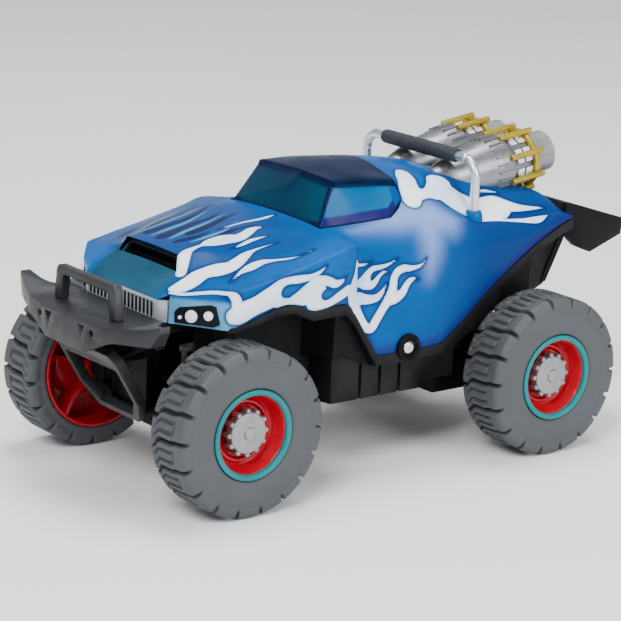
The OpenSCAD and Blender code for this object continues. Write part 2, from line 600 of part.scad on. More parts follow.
slot_r = 1.8;
module pin_slot(y) {
    for (dx = [-0.6, 0.6]) translate([half_base - arm_l + dx, y, 30]) cylinder(r = slot_r, h = 30);
    translate([half_base - arm_l - 0.6, y - slot_r, 30]) cube([1.2, 2 * slot_r, 30]);
}
module tie_rod() color(black) placed() difference() {
    translate([half_base - arm_l - 4, -kingpin_y - 4, arm_top + 0.4]) cube([8, 2 * kingpin_y + 8, 2.6]);
    for (y = [-kingpin_y, 0, kingpin_y]) pin_slot(y);
}

servo_x = half_base - 2 * arm_l;
module steering_servo() color([0.15, 0.16, 0.18]) placed() {
    translate([servo_x - 14, -7, 37.5]) cube([20, 14, arm_top + 3.6 - 37.5]);
    difference() {
        translate([servo_x - 14, -11, arm_top + 3.2]) cube([20, 22, 11]);
        translate([servo_x, 0, 30]) cylinder(r = 2.2 + play, h = 40);
    }
}
horn_z = arm_top + 15;
module servo_horn() color([0.85, 0.85, 0.82]) placed() {
    translate([servo_x, 0, arm_top + 4.4]) cylinder(r = 2.2, h = 13);
    difference() {
        translate([servo_x, -2.6, horn_z]) cube([arm_l, 5.2, 2.4]);
        translate([servo_x - 5, -5, horn_z - 1]) cube([3, 10, 5]);
    }
    translate([servo_x, 0, horn_z]) cylinder(r = 4, h = 2.4);
    translate([servo_x + arm_l, 0, horn_z]) cylinder(r = 2.6, h = 2.4);
    translate([servo_x + arm_l, 0, arm_top + 0.6]) cylinder(r = 1.5, h = horn_z - arm_top);
}

// ---- drive ----

pressure_angle = 20;
function involute(rb, a) = let (t = sqrt(max(a * a / (rb * rb) - 1, 0)), u = t * 180 / PI)
    u - atan(t);
// half the angle that a tooth fills at radius a
function tooth_half(teeth, rb, rp, a) = 90 / teeth * 0.94 + involute(rb, rp) - involute(rb, a);
module gear_2d(teeth) {
    rp = gear_m * teeth / 2;
    rb = rp * cos(pressure_angle);
    rf = rp - 1.25 * gear_m;
    ra = rp + 0.85 * gear_m;
    low = max(rb, rf + 0.05);
    low_half = tooth_half(teeth, rb, rp, low);
    root = 0.9 * rf;
    radii = [for (i = [0:4]) low + (ra - low) * i / 4];
    circle(r = rf + 0.02, $fn = teeth * 2);
    for (k = [0:teeth - 1]) rotate([0, 0, k * 360 / teeth])
        polygon(concat(
            [[root * cos(low_half), -root * sin(low_half)]],
            [for (a = radii) let (h = tooth_half(teeth, rb, rp, a)) [a * cos(h), -a * sin(h)]],
            [for (i = [4:-1:0]) let (a = radii[i], h = tooth_half(teeth, rb, rp, a)) [a * cos(h), a * sin(h)]],
            [[root * cos(low_half), root * sin(low_half)]]));
}

// direction from the axle to the idler, and from the idler to the motor, in degrees above forward
idler_angle = 25;
motor_angle = 12;
idler_reach = gear_m * (axle_teeth + idler_small_teeth) / 2 + gear_slack;
motor_reach = gear_m * (idler_big_teeth + pinion_teeth) / 2 + gear_slack;
idler_x = -half_base + idler_reach * cos(idler_angle);
idler_z = axle_z + idler_reach * sin(idler_angle);
motor_x = idler_x + motor_reach * cos(motor_angle);
motor_z = idler_z + motor_reach * sin(motor_angle);

// a shaft's frame: Z along the car's +Y, X forward, so positive angles turn X towards -Z
module shaft_frame(x, z, y) {
    translate([x, y, z]) rotate([-90, 0, 0]) children();
}

gear_y = -12;
module rear_axle() color(steel) placed() shaft_frame(-half_base, axle_z, -wheel_inner_y - 17.6)
    cylinder(r = axle_r, h = 2 * (wheel_inner_y + 17.6));

// the axle gear has a tooth towards the idler
module axle_gear() color([0.93, 0.92, 0.86]) placed() shaft_frame(-half_base, axle_z, gear_y) difference() {
    union() {
        linear_extrude(5) rotate([0, 0, -idler_angle]) gear_2d(axle_teeth);
        translate([0, 0, -2.5]) cylinder(r = 4, h = 7.4);
    }
    translate([0, 0, -5]) cylinder(r = axle_r, h = 20);
}

// the idler's small wheel has a gap towards the axle, its large wheel a tooth towards the motor
module idler_gear() color([0.93, 0.92, 0.86]) placed() shaft_frame(idler_x, idler_z, 0) {
    translate([0, 0, gear_y - 0.2]) linear_extrude(5.6)
        rotate([0, 0, 180 - idler_angle + 180 / idler_small_teeth]) gear_2d(idler_small_teeth);
    translate([0, 0, gear_y + 5.4]) linear_extrude(3.4)
        rotate([0, 0, -motor_angle]) gear_2d(idler_big_teeth);
    translate([0, 0, -18 + 0.3]) cylinder(r = 1.5, h = 19.4);
}

module motor_pinion() color([0.75, 0.62, 0.30]) placed() shaft_frame(motor_x, motor_z, 0) {
    translate([0, 0, gear_y + 5.6]) linear_extrude(3.2)
        rotate([0, 0, 180 - motor_angle + 180 / pinion_teeth]) gear_2d(pinion_teeth);
    translate([0, 0, gear_y + 4]) cylinder(r = 1, h = 14);
}

motor_r = 10;
module drive_motor() color(steel) placed() shaft_frame(motor_x, motor_z, 2.2) difference() {
    union() {
        intersection() {
            cylinder(r = motor_r, h = 25);
            translate([-10, -7.6, 0]) cube([20, 15.2, 25]);
        }
        translate([0, 0, -1.4]) cylinder(r = 3, h = 1.5);
        translate([0, 0, 24.9]) cylinder(r = 3, h = 2);
    }
    translate([0, 0, -5]) cylinder(r = 1 + play, h = 12);
}

case_x = [-106, -49];
module gearbox_case() color(black) placed() difference() {
    union() {
        translate([case_x[0], -18, 25]) cube([case_x[1] - case_x[0], 48, 34]);
        shaft_frame(-half_base, axle_z, -44) cylinder(r = 7, h = 88);
    }
    // gear chamber
    translate([case_x[0] + 2.5, -15.6, 27]) cube([case_x[1] - case_x[0] - 5, 16, 29.5]);
    // motor bay
    translate([motor_x - motor_r - 0.6, 2.2, motor_z - 7.6]) cube([2 * motor_r + 0.6, 25.4, 30]);
    shaft_frame(motor_x, motor_z, 0) cylinder(r = 3.2, h = 34);
    // axle bore and bush seats
    shaft_frame(-half_base, axle_z, -60) cylinder(r = axle_r + 0.6, h = 120);
    both_sides() shaft_frame(-half_base, axle_z, 38) cylinder(r = 4, h = 10);
    // idler bearings
    shaft_frame(idler_x, idler_z, -18.5) cylinder(r = 1.5 + play, h = 20.5);
    // open corner above the axle, outside the gear chamber
    translate([case_x[0] - 1, 4, 50]) cube([motor_x - motor_r - 5 - case_x[0], 40, 20]);
}

module axle_bushes() color([0.72, 0.55, 0.25]) placed() both_sides() shaft_frame(-half_base, axle_z, 38)
    difference() {
        union() {
            cylinder(r = 4, h = 6);
            translate([0, 0, 6]) cylinder(r = 5, h = 1.2);
        }
        translate([0, 0, -1]) cylinder(r = axle_r + play, h = 10);
    }

body_shell();
canopy();
roof_panel();
cockpit_tray();
scoop_insert();
grille();
headlight_bezels();
headlight_lenses();
front_bumper();
bull_bar();
skid_cage();
bumper_struts();
upper_frame();
chassis_tub();
tail_spoiler();
side_screw_cups();
side_screws();
roll_bar();
roll_bar_grip();
jet_housing(1);  // jet_housing_left
jet_housing(-1);  // jet_housing_right
jet_nozzle(1);  // jet_nozzle_left
jet_nozzle(-1);  // jet_nozzle_right
jet_rod_set(1);  // jet_rods_left
jet_rod_set(-1);  // jet_rods_right
tyre(1, 1);  // tyre_front_left
tyre(1, -1);  // tyre_front_right
tyre(-1, 1);  // tyre_rear_left
tyre(-1, -1);  // tyre_rear_right
rim(1, 1);  // rim_front_left
rim(1, -1);  // rim_front_right
rim(-1, 1);  // rim_rear_left
rim(-1, -1);  // rim_rear_right
wheel_ring(1, 1);  // wheel_ring_front_left
wheel_ring(1, -1);  // wheel_ring_front_right
wheel_ring(-1, 1);  // wheel_ring_rear_left
wheel_ring(-1, -1);  // wheel_ring_rear_right
hubcap(1, 1);  // hubcap_front_left
hubcap(1, -1);  // hubcap_front_right
hubcap(-1, 1);  // hubcap_rear_left
hubcap(-1, -1);  // hubcap_rear_right
knuckle(1);  // knuckle_left
knuckle(-1);  // knuckle_right
stub_axle(1);  // stub_axle_left
stub_axle(-1);  // stub_axle_right
kingpins();
tie_rod();
steering_servo();
servo_horn();
rear_axle();
axle_gear();
idler_gear();
motor_pinion();
drive_motor();
gearbox_case();
axle_bushes();
battery_pack();
battery_door();
circuit_board();
power_switch();
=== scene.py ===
"""Looks for the RC stunt car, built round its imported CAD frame. All lengths here are in millimetres
in the CAD's own frame (+X front, +Y left, +Z up) and are turned into metres by make_mesh."""
import json
import math

import bmesh
import bpy
import numpy as np
from mathutils import Matrix, Vector

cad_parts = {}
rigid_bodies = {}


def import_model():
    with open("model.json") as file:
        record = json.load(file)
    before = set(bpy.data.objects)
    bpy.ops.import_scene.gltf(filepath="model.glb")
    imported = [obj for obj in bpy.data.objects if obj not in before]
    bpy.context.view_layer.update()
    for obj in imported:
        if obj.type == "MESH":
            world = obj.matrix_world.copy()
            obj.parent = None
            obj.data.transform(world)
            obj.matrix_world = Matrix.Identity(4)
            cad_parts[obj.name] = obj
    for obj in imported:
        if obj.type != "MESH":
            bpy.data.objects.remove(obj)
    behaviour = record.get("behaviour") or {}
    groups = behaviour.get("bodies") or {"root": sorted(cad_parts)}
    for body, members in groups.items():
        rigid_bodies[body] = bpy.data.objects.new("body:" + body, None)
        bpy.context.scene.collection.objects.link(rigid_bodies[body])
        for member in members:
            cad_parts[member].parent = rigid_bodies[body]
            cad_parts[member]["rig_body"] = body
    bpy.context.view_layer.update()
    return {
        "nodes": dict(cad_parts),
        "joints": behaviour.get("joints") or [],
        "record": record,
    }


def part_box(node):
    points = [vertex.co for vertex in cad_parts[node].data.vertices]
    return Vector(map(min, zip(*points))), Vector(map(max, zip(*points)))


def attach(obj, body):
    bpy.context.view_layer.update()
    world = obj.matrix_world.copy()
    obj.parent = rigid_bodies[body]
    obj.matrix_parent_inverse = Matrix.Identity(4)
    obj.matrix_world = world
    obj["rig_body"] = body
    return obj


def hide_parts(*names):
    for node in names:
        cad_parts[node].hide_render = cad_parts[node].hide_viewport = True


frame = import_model()
NODES = frame["nodes"]
JOINTS = {j["name"]: j for j in frame["joints"]}
BODY_OF = {n: o["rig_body"] for n, o in NODES.items()}
SLOT_OF = {s["node"]: s["material_slot"] for s in frame["record"]["subparts"]}
COLOR = {m["slot"]: m["base_color"] for m in frame["record"]["materials"]}
MM = 0.001
SIDES = ((1, "left"), (-1, "right"))

FRONT_X = JOINTS["steer_left"]["pos_m"][0] * 1000
REAR_X = JOINTS["rear_axle_spin"]["pos_m"][0] * 1000
AXLE_Z = JOINTS["rear_axle_spin"]["pos_m"][2] * 1000
MID_X = (FRONT_X + REAR_X) / 2
INNER_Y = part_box("tyre_rear_left")[0].y * 1000
TYRE_R = (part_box("tyre_rear_left")[1].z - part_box("tyre_rear_left")[0].z) * 500


# ---------------------------------------------------------------- materials

class Look:
    """A Principled material, built up node by node."""

    def __init__(self, name, base, rough=0.4, metal=0.0, coat=0.0, spec=0.5):
        self.mat = bpy.data.materials.new(name)
        self.mat.use_nodes = True
        self.tree = self.mat.node_tree
        self.inputs = self.tree.nodes["Principled BSDF"].inputs
        for key, value in (("Base Color", (*base[:3], 1)), ("Roughness", rough), ("Metallic", metal),
                           ("Coat Weight", coat), ("Coat Roughness", 0.08), ("Specular IOR Level", spec)):
            self.inputs[key].default_value = value

    def link(self, key, socket):
        self.tree.links.new(socket, self.inputs[key])

    def node(self, kind, **values):
        """A shader node with its properties and named inputs set, or linked where given a socket."""
        n = self.tree.nodes.new("ShaderNode" + kind)
        for key, value in values.items():
            if key not in n.inputs:
                setattr(n, key, value)
            elif isinstance(value, bpy.types.NodeSocket):
                self.tree.links.new(value, n.inputs[key])
            else:
                n.inputs[key].default_value = value
        return n

    def noise(self, scale, detail=4.0, rough=0.55, stretch=None):
        """Noise over the object's own coordinates; scale is in cycles per metre."""
        source = self.node("TexCoord").outputs["Object"]
        if stretch:
            source = self.node("Mapping", Vector=source, Scale=stretch).outputs["Vector"]
        return self.node("TexNoise", Vector=source, Scale=scale, Detail=detail,
                         Roughness=rough).outputs["Fac"]

    def ramp(self, fac, *stops):
        """A colour ramp from (position, colour) stops."""
        r = self.node("ValToRGB", Fac=fac)
        while len(r.color_ramp.elements) < len(stops):
            r.color_ramp.elements.new(0.5)
        for e, (pos, col) in zip(r.color_ramp.elements, stops):
            e.position = pos
            e.color = (*col, 1)
        return r.outputs["Color"]

    def mix(self, fac, a, b):
        """Mixes two colours, each a socket or a colour, by a socket."""
        m = self.node("Mix", data_type="RGBA")
        for value, socket in ((fac, m.inputs[0]), (a, m.inputs[6]), (b, m.inputs[7])):
            if isinstance(value, bpy.types.NodeSocket):
                self.tree.links.new(value, socket)
            else:
                socket.default_value = (*value, 1)
        return m.outputs[2]

    def remap(self, value, lo, hi, out_lo=0.0, out_hi=1.0):
        """Maps a value smoothly from lo..hi to out_lo..out_hi, clamped."""
        ends = {"From Min": lo, "From Max": hi, "To Min": out_lo, "To Max": out_hi}
        return self.node("MapRange", interpolation_type="SMOOTHSTEP", Value=value, **ends).outputs["Result"]

    def attribute(self, name):
        return self.node("Attribute", attribute_name=name).outputs["Fac"]

    def bump(self, height, strength, distance):
        b = self.node("Bump", Height=height, Strength=strength, Distance=distance)
        self.link("Normal", b.outputs["Normal"])


def plastic(name, base, rough=0.4, grain=900.0, depth=0.12, vary=0.25, coat=0.0, metal=0.0, worn=None,
            spec=0.5):
    """Moulded plastic: fine grain in the bump, uneven gloss, slightly uneven colour and worn edges."""
    look = Look(name, base, rough, metal, coat, spec)
    colour = look.ramp(look.noise(45.0, 3.0), (0.3, [c * (1 - vary) for c in base]),
                       (0.7, [min(1, c * (1 + vary)) for c in base]))
    if worn:
        edge = look.node("NewGeometry").outputs["Pointiness"]
        colour = look.mix(look.remap(edge, 0.53, 0.60, 0.0, 0.55), colour, worn)
    look.link("Base Color", colour)
    look.link("Roughness", look.remap(look.noise(160.0), 0.3, 0.7, rough - 0.07, rough + 0.09))
    look.bump(look.noise(grain, 5.0), depth, 0.0004)
    return look.mat


def metal_finish(name, base, rough=0.3, brushed=(1, 1, 1), depth=0.06, scale=700.0, metal=1.0):
    """Bare or painted metal with streaks along its turned or drawn direction."""
    look = Look(name, base, rough, metal)
    streak = look.noise(scale, 4.0, 0.6, brushed)
    look.link("Base Color", look.ramp(streak, (0.3, [c * 0.82 for c in base]),
                                      (0.7, [min(1, c * 1.12) for c in base])))
    look.link("Roughness", look.remap(streak, 0.3, 0.7, rough - 0.06, rough + 0.1))
    look.bump(streak, depth, 0.0002)
    return look.mat


def tyre_rubber():
    """Soft grey rubber, mottled on the lugs, with painted shade darkening the grooves."""
    look = Look("tyre_rubber", COLOR["tyre_grey"], 0.62)
    base = [c * 0.35 for c in COLOR["tyre_grey"][:3]]
    blotch = look.noise(60.0, 5.0)
    mottled = look.ramp(blotch, (0.3, [c * 0.86 for c in base]), (0.7, [c * 1.12 for c in base]))
    # painted shade: where the lug attribute is low, in the grooves, the rubber is drawn at 0.42 of its
    # colour
    height = look.remap(look.attribute("lug"), 0.0, 0.8)
    look.link("Base Color", look.mix(height, [c * 0.42 for c in base], mottled))
    look.link("Roughness", look.remap(blotch, 0.3, 0.7, 0.55, 0.7))
    look.bump(look.noise(1400.0, 6.0), 0.18, 0.0003)
    return look.mat


def foam():
    """Dark closed-cell foam, with painted shade darkening the pits of its cells."""
    look = Look("foam_grip", COLOR["foam_slate"], 0.75)
    cells = look.node("TexVoronoi", Vector=look.node("TexCoord").outputs["Object"], Scale=900.0)
    depth = cells.outputs["Distance"]
    # painted shade: darker where the cells sink, following the bump's depth
    look.link("Base Color", look.ramp(depth, (0.0, (0.008, 0.009, 0.012)), (0.7, (0.028, 0.032, 0.040))))
    look.bump(depth, 0.5, 0.0004)
    return look.mat


def tinted_clear():
    """The cab's tinted moulding, one tint painted as a shaded copy for the screen, dark teal in a navy
    frame, and a lit copy for the side windows, bright with a violet band at the foot, and blue corner posts
    behind."""
    look = Look("canopy_tint", COLOR["canopy_tint"], 0.12, coat=0.04, spec=0.07)
    side = look.attribute("side")
    # painted shade: the screen drawn in a dark copy of the tint
    shaded_screen = look.ramp(look.noise(28.0, 3.0), (0.3, (0.002, 0.020, 0.055)), (0.7, (0.005, 0.060, 0.105)))
    shaded_screen = look.mix(look.attribute("border"), shaded_screen, (0.002, 0.008, 0.045))
    # painted reflection: the side windows drawn in a bright copy of the same tint
    bright = look.ramp(look.noise(22.0, 2.0), (0.3, (0.0, 0.075, 0.23)), (0.7, (0.0, 0.15, 0.33)))
    foot = look.remap(look.attribute("foot"), 0.17, 0.22, 1.0, 0.0)
    colour = look.mix(foot, look.mix(side, shaded_screen, bright), (0.012, 0.010, 0.11))
    look.link("Base Color", look.mix(look.attribute("post"), colour, (0.0, 0.06, 0.22)))
    look.link("Alpha", look.remap(side, 0.0, 1.0, 0.80, 0.97))
    look.link("Roughness", look.remap(look.noise(300.0), 0.3, 0.7, 0.10, 0.18))
    return look.mat


def shell_paint():
    """Gloss blue plastic with printed white flames, each with a dark blue drop shadow, a teal nose
    panel, soft painted highlights on the shoulders, a painted violet shadow along the lower edge
    and painted shade towards the tail."""
    look = Look("shell_paint", COLOR["shell_blue"], 0.25, coat=0.03, spec=0.05)
    printed = look.attribute("printed")
    blue = look.ramp(look.noise(16.0, 3.0), (0.30, (0.0, 0.062, 0.24)), (0.55, (0.0, 0.085, 0.31)),
                     (0.75, (0.0, 0.12, 0.40)))
    # painted shade: darker towards the tail and on the hood before the cab
    blue = look.mix(look.attribute("rear"), blue, (0.0, 0.034, 0.16))
    for name, lo, hi, at_lo, at_hi, colour in (
            # painted highlight on the shoulders
            ("glow", 0.0, 1.0, 0.0, 0.62, (0.30, 0.42, 0.82)),
            # painted shadow, violet, along the lower edge
            ("low", 0.0, 1.0, 0.0, 0.8, (0.012, 0.006, 0.11)),
            ("lick", 0.0, 0.9, 1.0, 0.0, (0.0, 0.008, 0.06)),
            ("edge", -0.2, 0.8, 0.8, 0.0, (0.06, 0.32, 0.55))):
        blue = look.mix(look.remap(look.attribute(name), lo, hi, at_lo, at_hi), blue, colour)
    blue = look.mix(look.attribute("brow"), blue, (0.10, 0.32, 0.56))
    shadowed = look.mix(look.remap(printed, -0.2, 2.0, 0.9, 0.0), blue, (0.0, 0.012, 0.10))
    teal = look.ramp(look.noise(30.0, 3.0), (0.3, (0.006, 0.044, 0.085)), (0.7, (0.020, 0.090, 0.15)))
    body = look.mix(look.attribute("nose"), shadowed, teal)
    pale = look.ramp(look.noise(34.0, 3.0), (0.30, (0.36, 0.58, 0.92)), (0.46, (0.76, 0.86, 0.98)),
                     (0.60, (0.97, 0.97, 0.99)))
    pale = look.mix(look.remap(printed, -1.7, -0.2, 0.0, 0.75), pale, (0.40, 0.66, 0.95))
    look.link("Base Color", look.mix(look.remap(printed, -0.22, 0.10, 1.0, 0.0), body, pale))
    look.link("Roughness", look.remap(look.noise(90.0, 3.0), 0.3, 0.7, 0.19, 0.32))
    look.bump(look.noise(520.0, 3.0), 0.05, 0.0004)
    return look.mat


MATS = {
    "shell_blue": shell_paint(),
    "shell_inside": plastic("shell_inside", (0.02, 0.16, 0.40), 0.5),
    "canopy_tint": tinted_clear(),
    "roof_navy": plastic("roof_navy", (0.001, 0.010, 0.040), 0.22, 400.0, 0.03, 0.4, spec=0.06),
    "black_plastic": plastic("black_plastic", (0.004, 0.004, 0.005), 0.45, 1000.0, 0.16, 0.3,
                             worn=(0.022, 0.022, 0.024), spec=0.08),
    "charcoal_plastic": plastic("charcoal_plastic", (0.016, 0.017, 0.019), 0.42, 1000.0, 0.14, 0.25,
                                worn=(0.08, 0.083, 0.088), spec=0.3),
    "silver_plastic": plastic("silver_plastic", (0.50, 0.54, 0.60), 0.26, 700.0, 0.05, 0.12, metal=0.4),
    "lens_white": plastic("lens_white", (0.78, 0.88, 0.98), 0.10, 300.0, 0.02, 0.08, coat=0.8),
    "jet_silver": metal_finish("jet_silver", (0.26, 0.265, 0.28), 0.34, (0.12, 1, 1), 0.08, 500.0, 0.92),
    "jet_grey": metal_finish("jet_grey", (0.30, 0.305, 0.32), 0.42, (0.12, 1, 1), 0.08, 500.0, 0.7),
    "jet_patch": plastic("jet_patch", (0.90, 0.91, 0.95), 0.25, 500.0, 0.04, 0.12),
    "jet_gold": metal_finish("jet_gold", (0.42, 0.31, 0.03), 0.34, (0.3, 1, 1), 0.08, 600.0, 0.6),
    "steel": metal_finish("steel", (0.74, 0.75, 0.77), 0.34, (1, 0.1, 1), 0.05),
    "foam_slate": foam(),
    "tyre_grey": tyre_rubber(),
    "rim_red": plastic("rim_red", (0.42, 0.0, 0.011), 0.30, 600.0, 0.05, 0.2, coat=0.1, spec=0.3),
    "ring_teal": plastic("ring_teal", (0.0, 0.16, 0.175), 0.34, 600.0, 0.05, 0.15, spec=0.25),
    "hub_grey": metal_finish("hub_grey", (0.29, 0.295, 0.31), 0.36, (1, 1, 1), 0.06, 500.0, 0.55),
    "gear_nylon": plastic("gear_nylon", (0.72, 0.71, 0.64), 0.45),
    "brass": metal_finish("brass", (0.62, 0.44, 0.16), 0.28),
    "motor_can": metal_finish("motor_can", (0.55, 0.55, 0.56), 0.3, (1, 0.1, 1)),
    "cell_green": plastic("cell_green", (0.03, 0.20, 0.09), 0.25, 300.0, 0.03, coat=0.5),
    "board_green": plastic("board_green", (0.01, 0.14, 0.05), 0.35, 500.0, 0.1),
}


# ---------------------------------------------------------------- mesh helpers

def make_mesh(name, verts, faces, smooth_angle=None):
    """A mesh object from points in millimetres."""
    mesh = bpy.data.meshes.new(name)
    mesh.from_pydata([tuple(v * MM for v in p) for p in verts], [], faces)
    mesh.validate()
    obj = bpy.data.objects.new(name, mesh)
    bpy.context.scene.collection.objects.link(obj)
    finished(obj, smooth_angle)
    return obj


def fix_normals(obj):
    bm = bmesh.new()
    bm.from_mesh(obj.data)
    bmesh.ops.recalc_face_normals(bm, faces=bm.faces)
    bm.to_mesh(obj.data)
    bm.free()


def shade(obj, angle=None):
    """Smooth shading, with edges over the angle (degrees) kept sharp."""
    obj.data.shade_smooth()
    if angle:
        obj.data.set_sharp_from_angle(angle=math.radians(angle))


def finished(obj, angle=None):
    fix_normals(obj)
    shade(obj, angle)


def settle(obj, body, slot, mat=None, replaced=()):
    """Gives a finished piece its material and body, and hides the CAD nodes it stands for."""
    obj.data.materials.clear()
    obj.data.materials.append(mat or MATS[slot])
    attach(obj, body)
    slot if slot in COLOR else SLOT_OF[replaced[0]]
    if replaced:
        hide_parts(*replaced)


def bake_modifiers(obj):
    """Replaces the object's mesh by its evaluated mesh, so that no modifier is left on it."""
    graph = bpy.context.evaluated_depsgraph_get()
    mesh = bpy.data.meshes.new_from_object(obj.evaluated_get(graph))
    obj.modifiers.clear()
    obj.data = mesh


def softened(name, width):
    """A copy of a CAD node with rounded edges, as a moulded part has, standing for that node."""
    mesh = NODES[name].data.copy()
    bm = bmesh.new()
    bm.from_mesh(mesh)
    bmesh.ops.remove_doubles(bm, verts=bm.verts, dist=2e-6)
    bmesh.ops.dissolve_limit(bm, angle_limit=math.radians(1.0), verts=bm.verts, edges=bm.edges)
    bm.to_mesh(mesh)
    bm.free()
    obj = bpy.data.objects.new(name + "_moulded", mesh)
    bpy.context.scene.collection.objects.link(obj)
    bevel = obj.modifiers.new("bevel", "BEVEL")
    bevel.width = width * MM
    bevel.segments = 2
    bevel.limit_method = "ANGLE"
    bevel.angle_limit = math.radians(32)
    bevel.use_clamp_overlap = True
    bake_modifiers(obj)
    shade(obj, 40)
    settle(obj, BODY_OF[name], SLOT_OF[name], replaced=[name])


def lathe(profile, steps=96, place=lambda p: p, closed=True):
    """Points and faces of a turned shape about local Z; profile is (radius, height) pairs."""
    rows = len(profile)
    verts = []
    for i in range(steps):
        a = 2 * math.pi * i / steps
        verts += [place((r * math.cos(a), r * math.sin(a), z)) for r, z in profile]
    faces = []
    for i in range(steps):
        j = (i + 1) % steps
        for k in range(rows if closed else rows - 1):
            m = (k + 1) % rows
            faces.append((i * rows + k, j * rows + k, j * rows + m, i * rows + m))
    return verts, faces


def rounded(points, radius, steps=4, closed=True):
    """Rounds the corners of a 2-D outline."""
    out = []
    n = len(points)
    for i in range(n):
        if not closed and i in (0, n - 1):
            out.append(points[i])
            continue
        p = np.array(points[i], float)
        a = np.array(points[i - 1], float) - p
        b = np.array(points[(i + 1) % n], float) - p
        la, lb = np.linalg.norm(a), np.linalg.norm(b)
        cut = min(radius, la * 0.45, lb * 0.45)
        start, end = p + a / la * cut, p + b / lb * cut
        for k in range(steps + 1):
            t = k / steps
            out.append(tuple((1 - t) ** 2 * start + 2 * t * (1 - t) * p + t * t * end))
    return out


def merge(parts):
    """Joins (verts, faces) pairs into one."""
    verts, faces = [], []
    for v, f in parts:
        faces += [tuple(i + len(verts) for i in face) for face in f]
        verts += list(v)
    return verts, faces


def block(lo, hi, place=lambda p: p):
    """A box between two corners."""
    verts = [place((x, y, z)) for x in (lo[0], hi[0]) for y in (lo[1], hi[1]) for z in (lo[2], hi[2])]
    faces = [(0, 1, 3, 2), (4, 6, 7, 5), (0, 4, 5, 1), (2, 3, 7, 6), (0, 2, 6, 4), (1, 5, 7, 3)]
    return verts, faces


def grid_faces(rows, cols, shut=lambda r, c: True):
    """Quads of a rows x cols grid of points where shut(r, c) is true."""
    corners = [r * cols + c for r in range(rows - 1) for c in range(cols - 1) if shut(r, c)]
    return [(k, k + 1, k + cols + 1, k + cols) for k in corners]


def creased(name, verts, faces, creases):
    """A mesh object whose edges {(a, b): weight} and corners {a: weight} stay crisp when subdivided."""
    obj = bpy.data.objects.new(name, bpy.data.meshes.new(name))
    bpy.context.scene.collection.objects.link(obj)
    obj.data.from_pydata([tuple(p) for p in verts], [], faces)
    bm = bmesh.new()
    bm.from_mesh(obj.data)
    edges, corners = bm.edges.layers.float.new("crease_edge"), bm.verts.layers.float.new("crease_vert")
    for e in bm.edges:
        e[edges] = creases.get(tuple(sorted(v.index for v in e.verts)), 0.0)
    for v in bm.verts:
        v[corners] = creases.get(v.index, 0.0)
    bm.to_mesh(obj.data)
    bm.free()
    return obj


FIT_ROUNDS = 3


def subdivided(name, verts, faces, creases, levels):
    """A smooth surface through the given control points: the points are moved until the
    subdivided surface passes through them."""
    target = np.array(verts, float) * MM
    control = target.copy()
    obj = creased(name, control, faces, creases)
    used = sorted({i for f in faces for i in f})
    sub = obj.modifiers.new("sub", "SUBSURF")
    sub.subdivision_type = "CATMULL_CLARK"
    sub.boundary_smooth = "PRESERVE_CORNERS"
    sub.levels = sub.render_levels = 2
    for _ in range(FIT_ROUNDS):
        bpy.context.view_layer.update()
        done = obj.evaluated_get(bpy.context.evaluated_depsgraph_get()).data
        limit = np.array([done.vertices[i].co for i in range(len(verts))])
        for i in used:
            control[i] += (target[i] - limit[i]) * 0.8
            obj.data.vertices[i].co = control[i]
        obj.data.update()
    sub.levels = sub.render_levels = levels
    bpy.context.view_layer.update()
    bake_modifiers(obj)
    bm = bmesh.new()
    bm.from_mesh(obj.data)
    bmesh.ops.delete(bm, geom=[v for v in bm.verts if not v.link_faces], context="VERTS")
    bm.to_mesh(obj.data)
    bm.free()
    return obj


def set_attribute(obj, name, values):
    """Stores one number per point, for the material to read."""
    layer = obj.data.attributes.new(name, "FLOAT", "POINT")
    layer.data.foreach_set("value", np.asarray(values, np.float32))


def points_mm(obj):
    co = np.zeros(len(obj.data.vertices) * 3, np.float32)
    obj.data.vertices.foreach_get("co", co)
    return co.reshape(-1, 3).astype(float) / MM


# ---------------------------------------------------------------- shell

def station(x, *points):
    """A row in one plane across the car, from (y, z) points."""
    return [(x, y, z) for y, z in points]


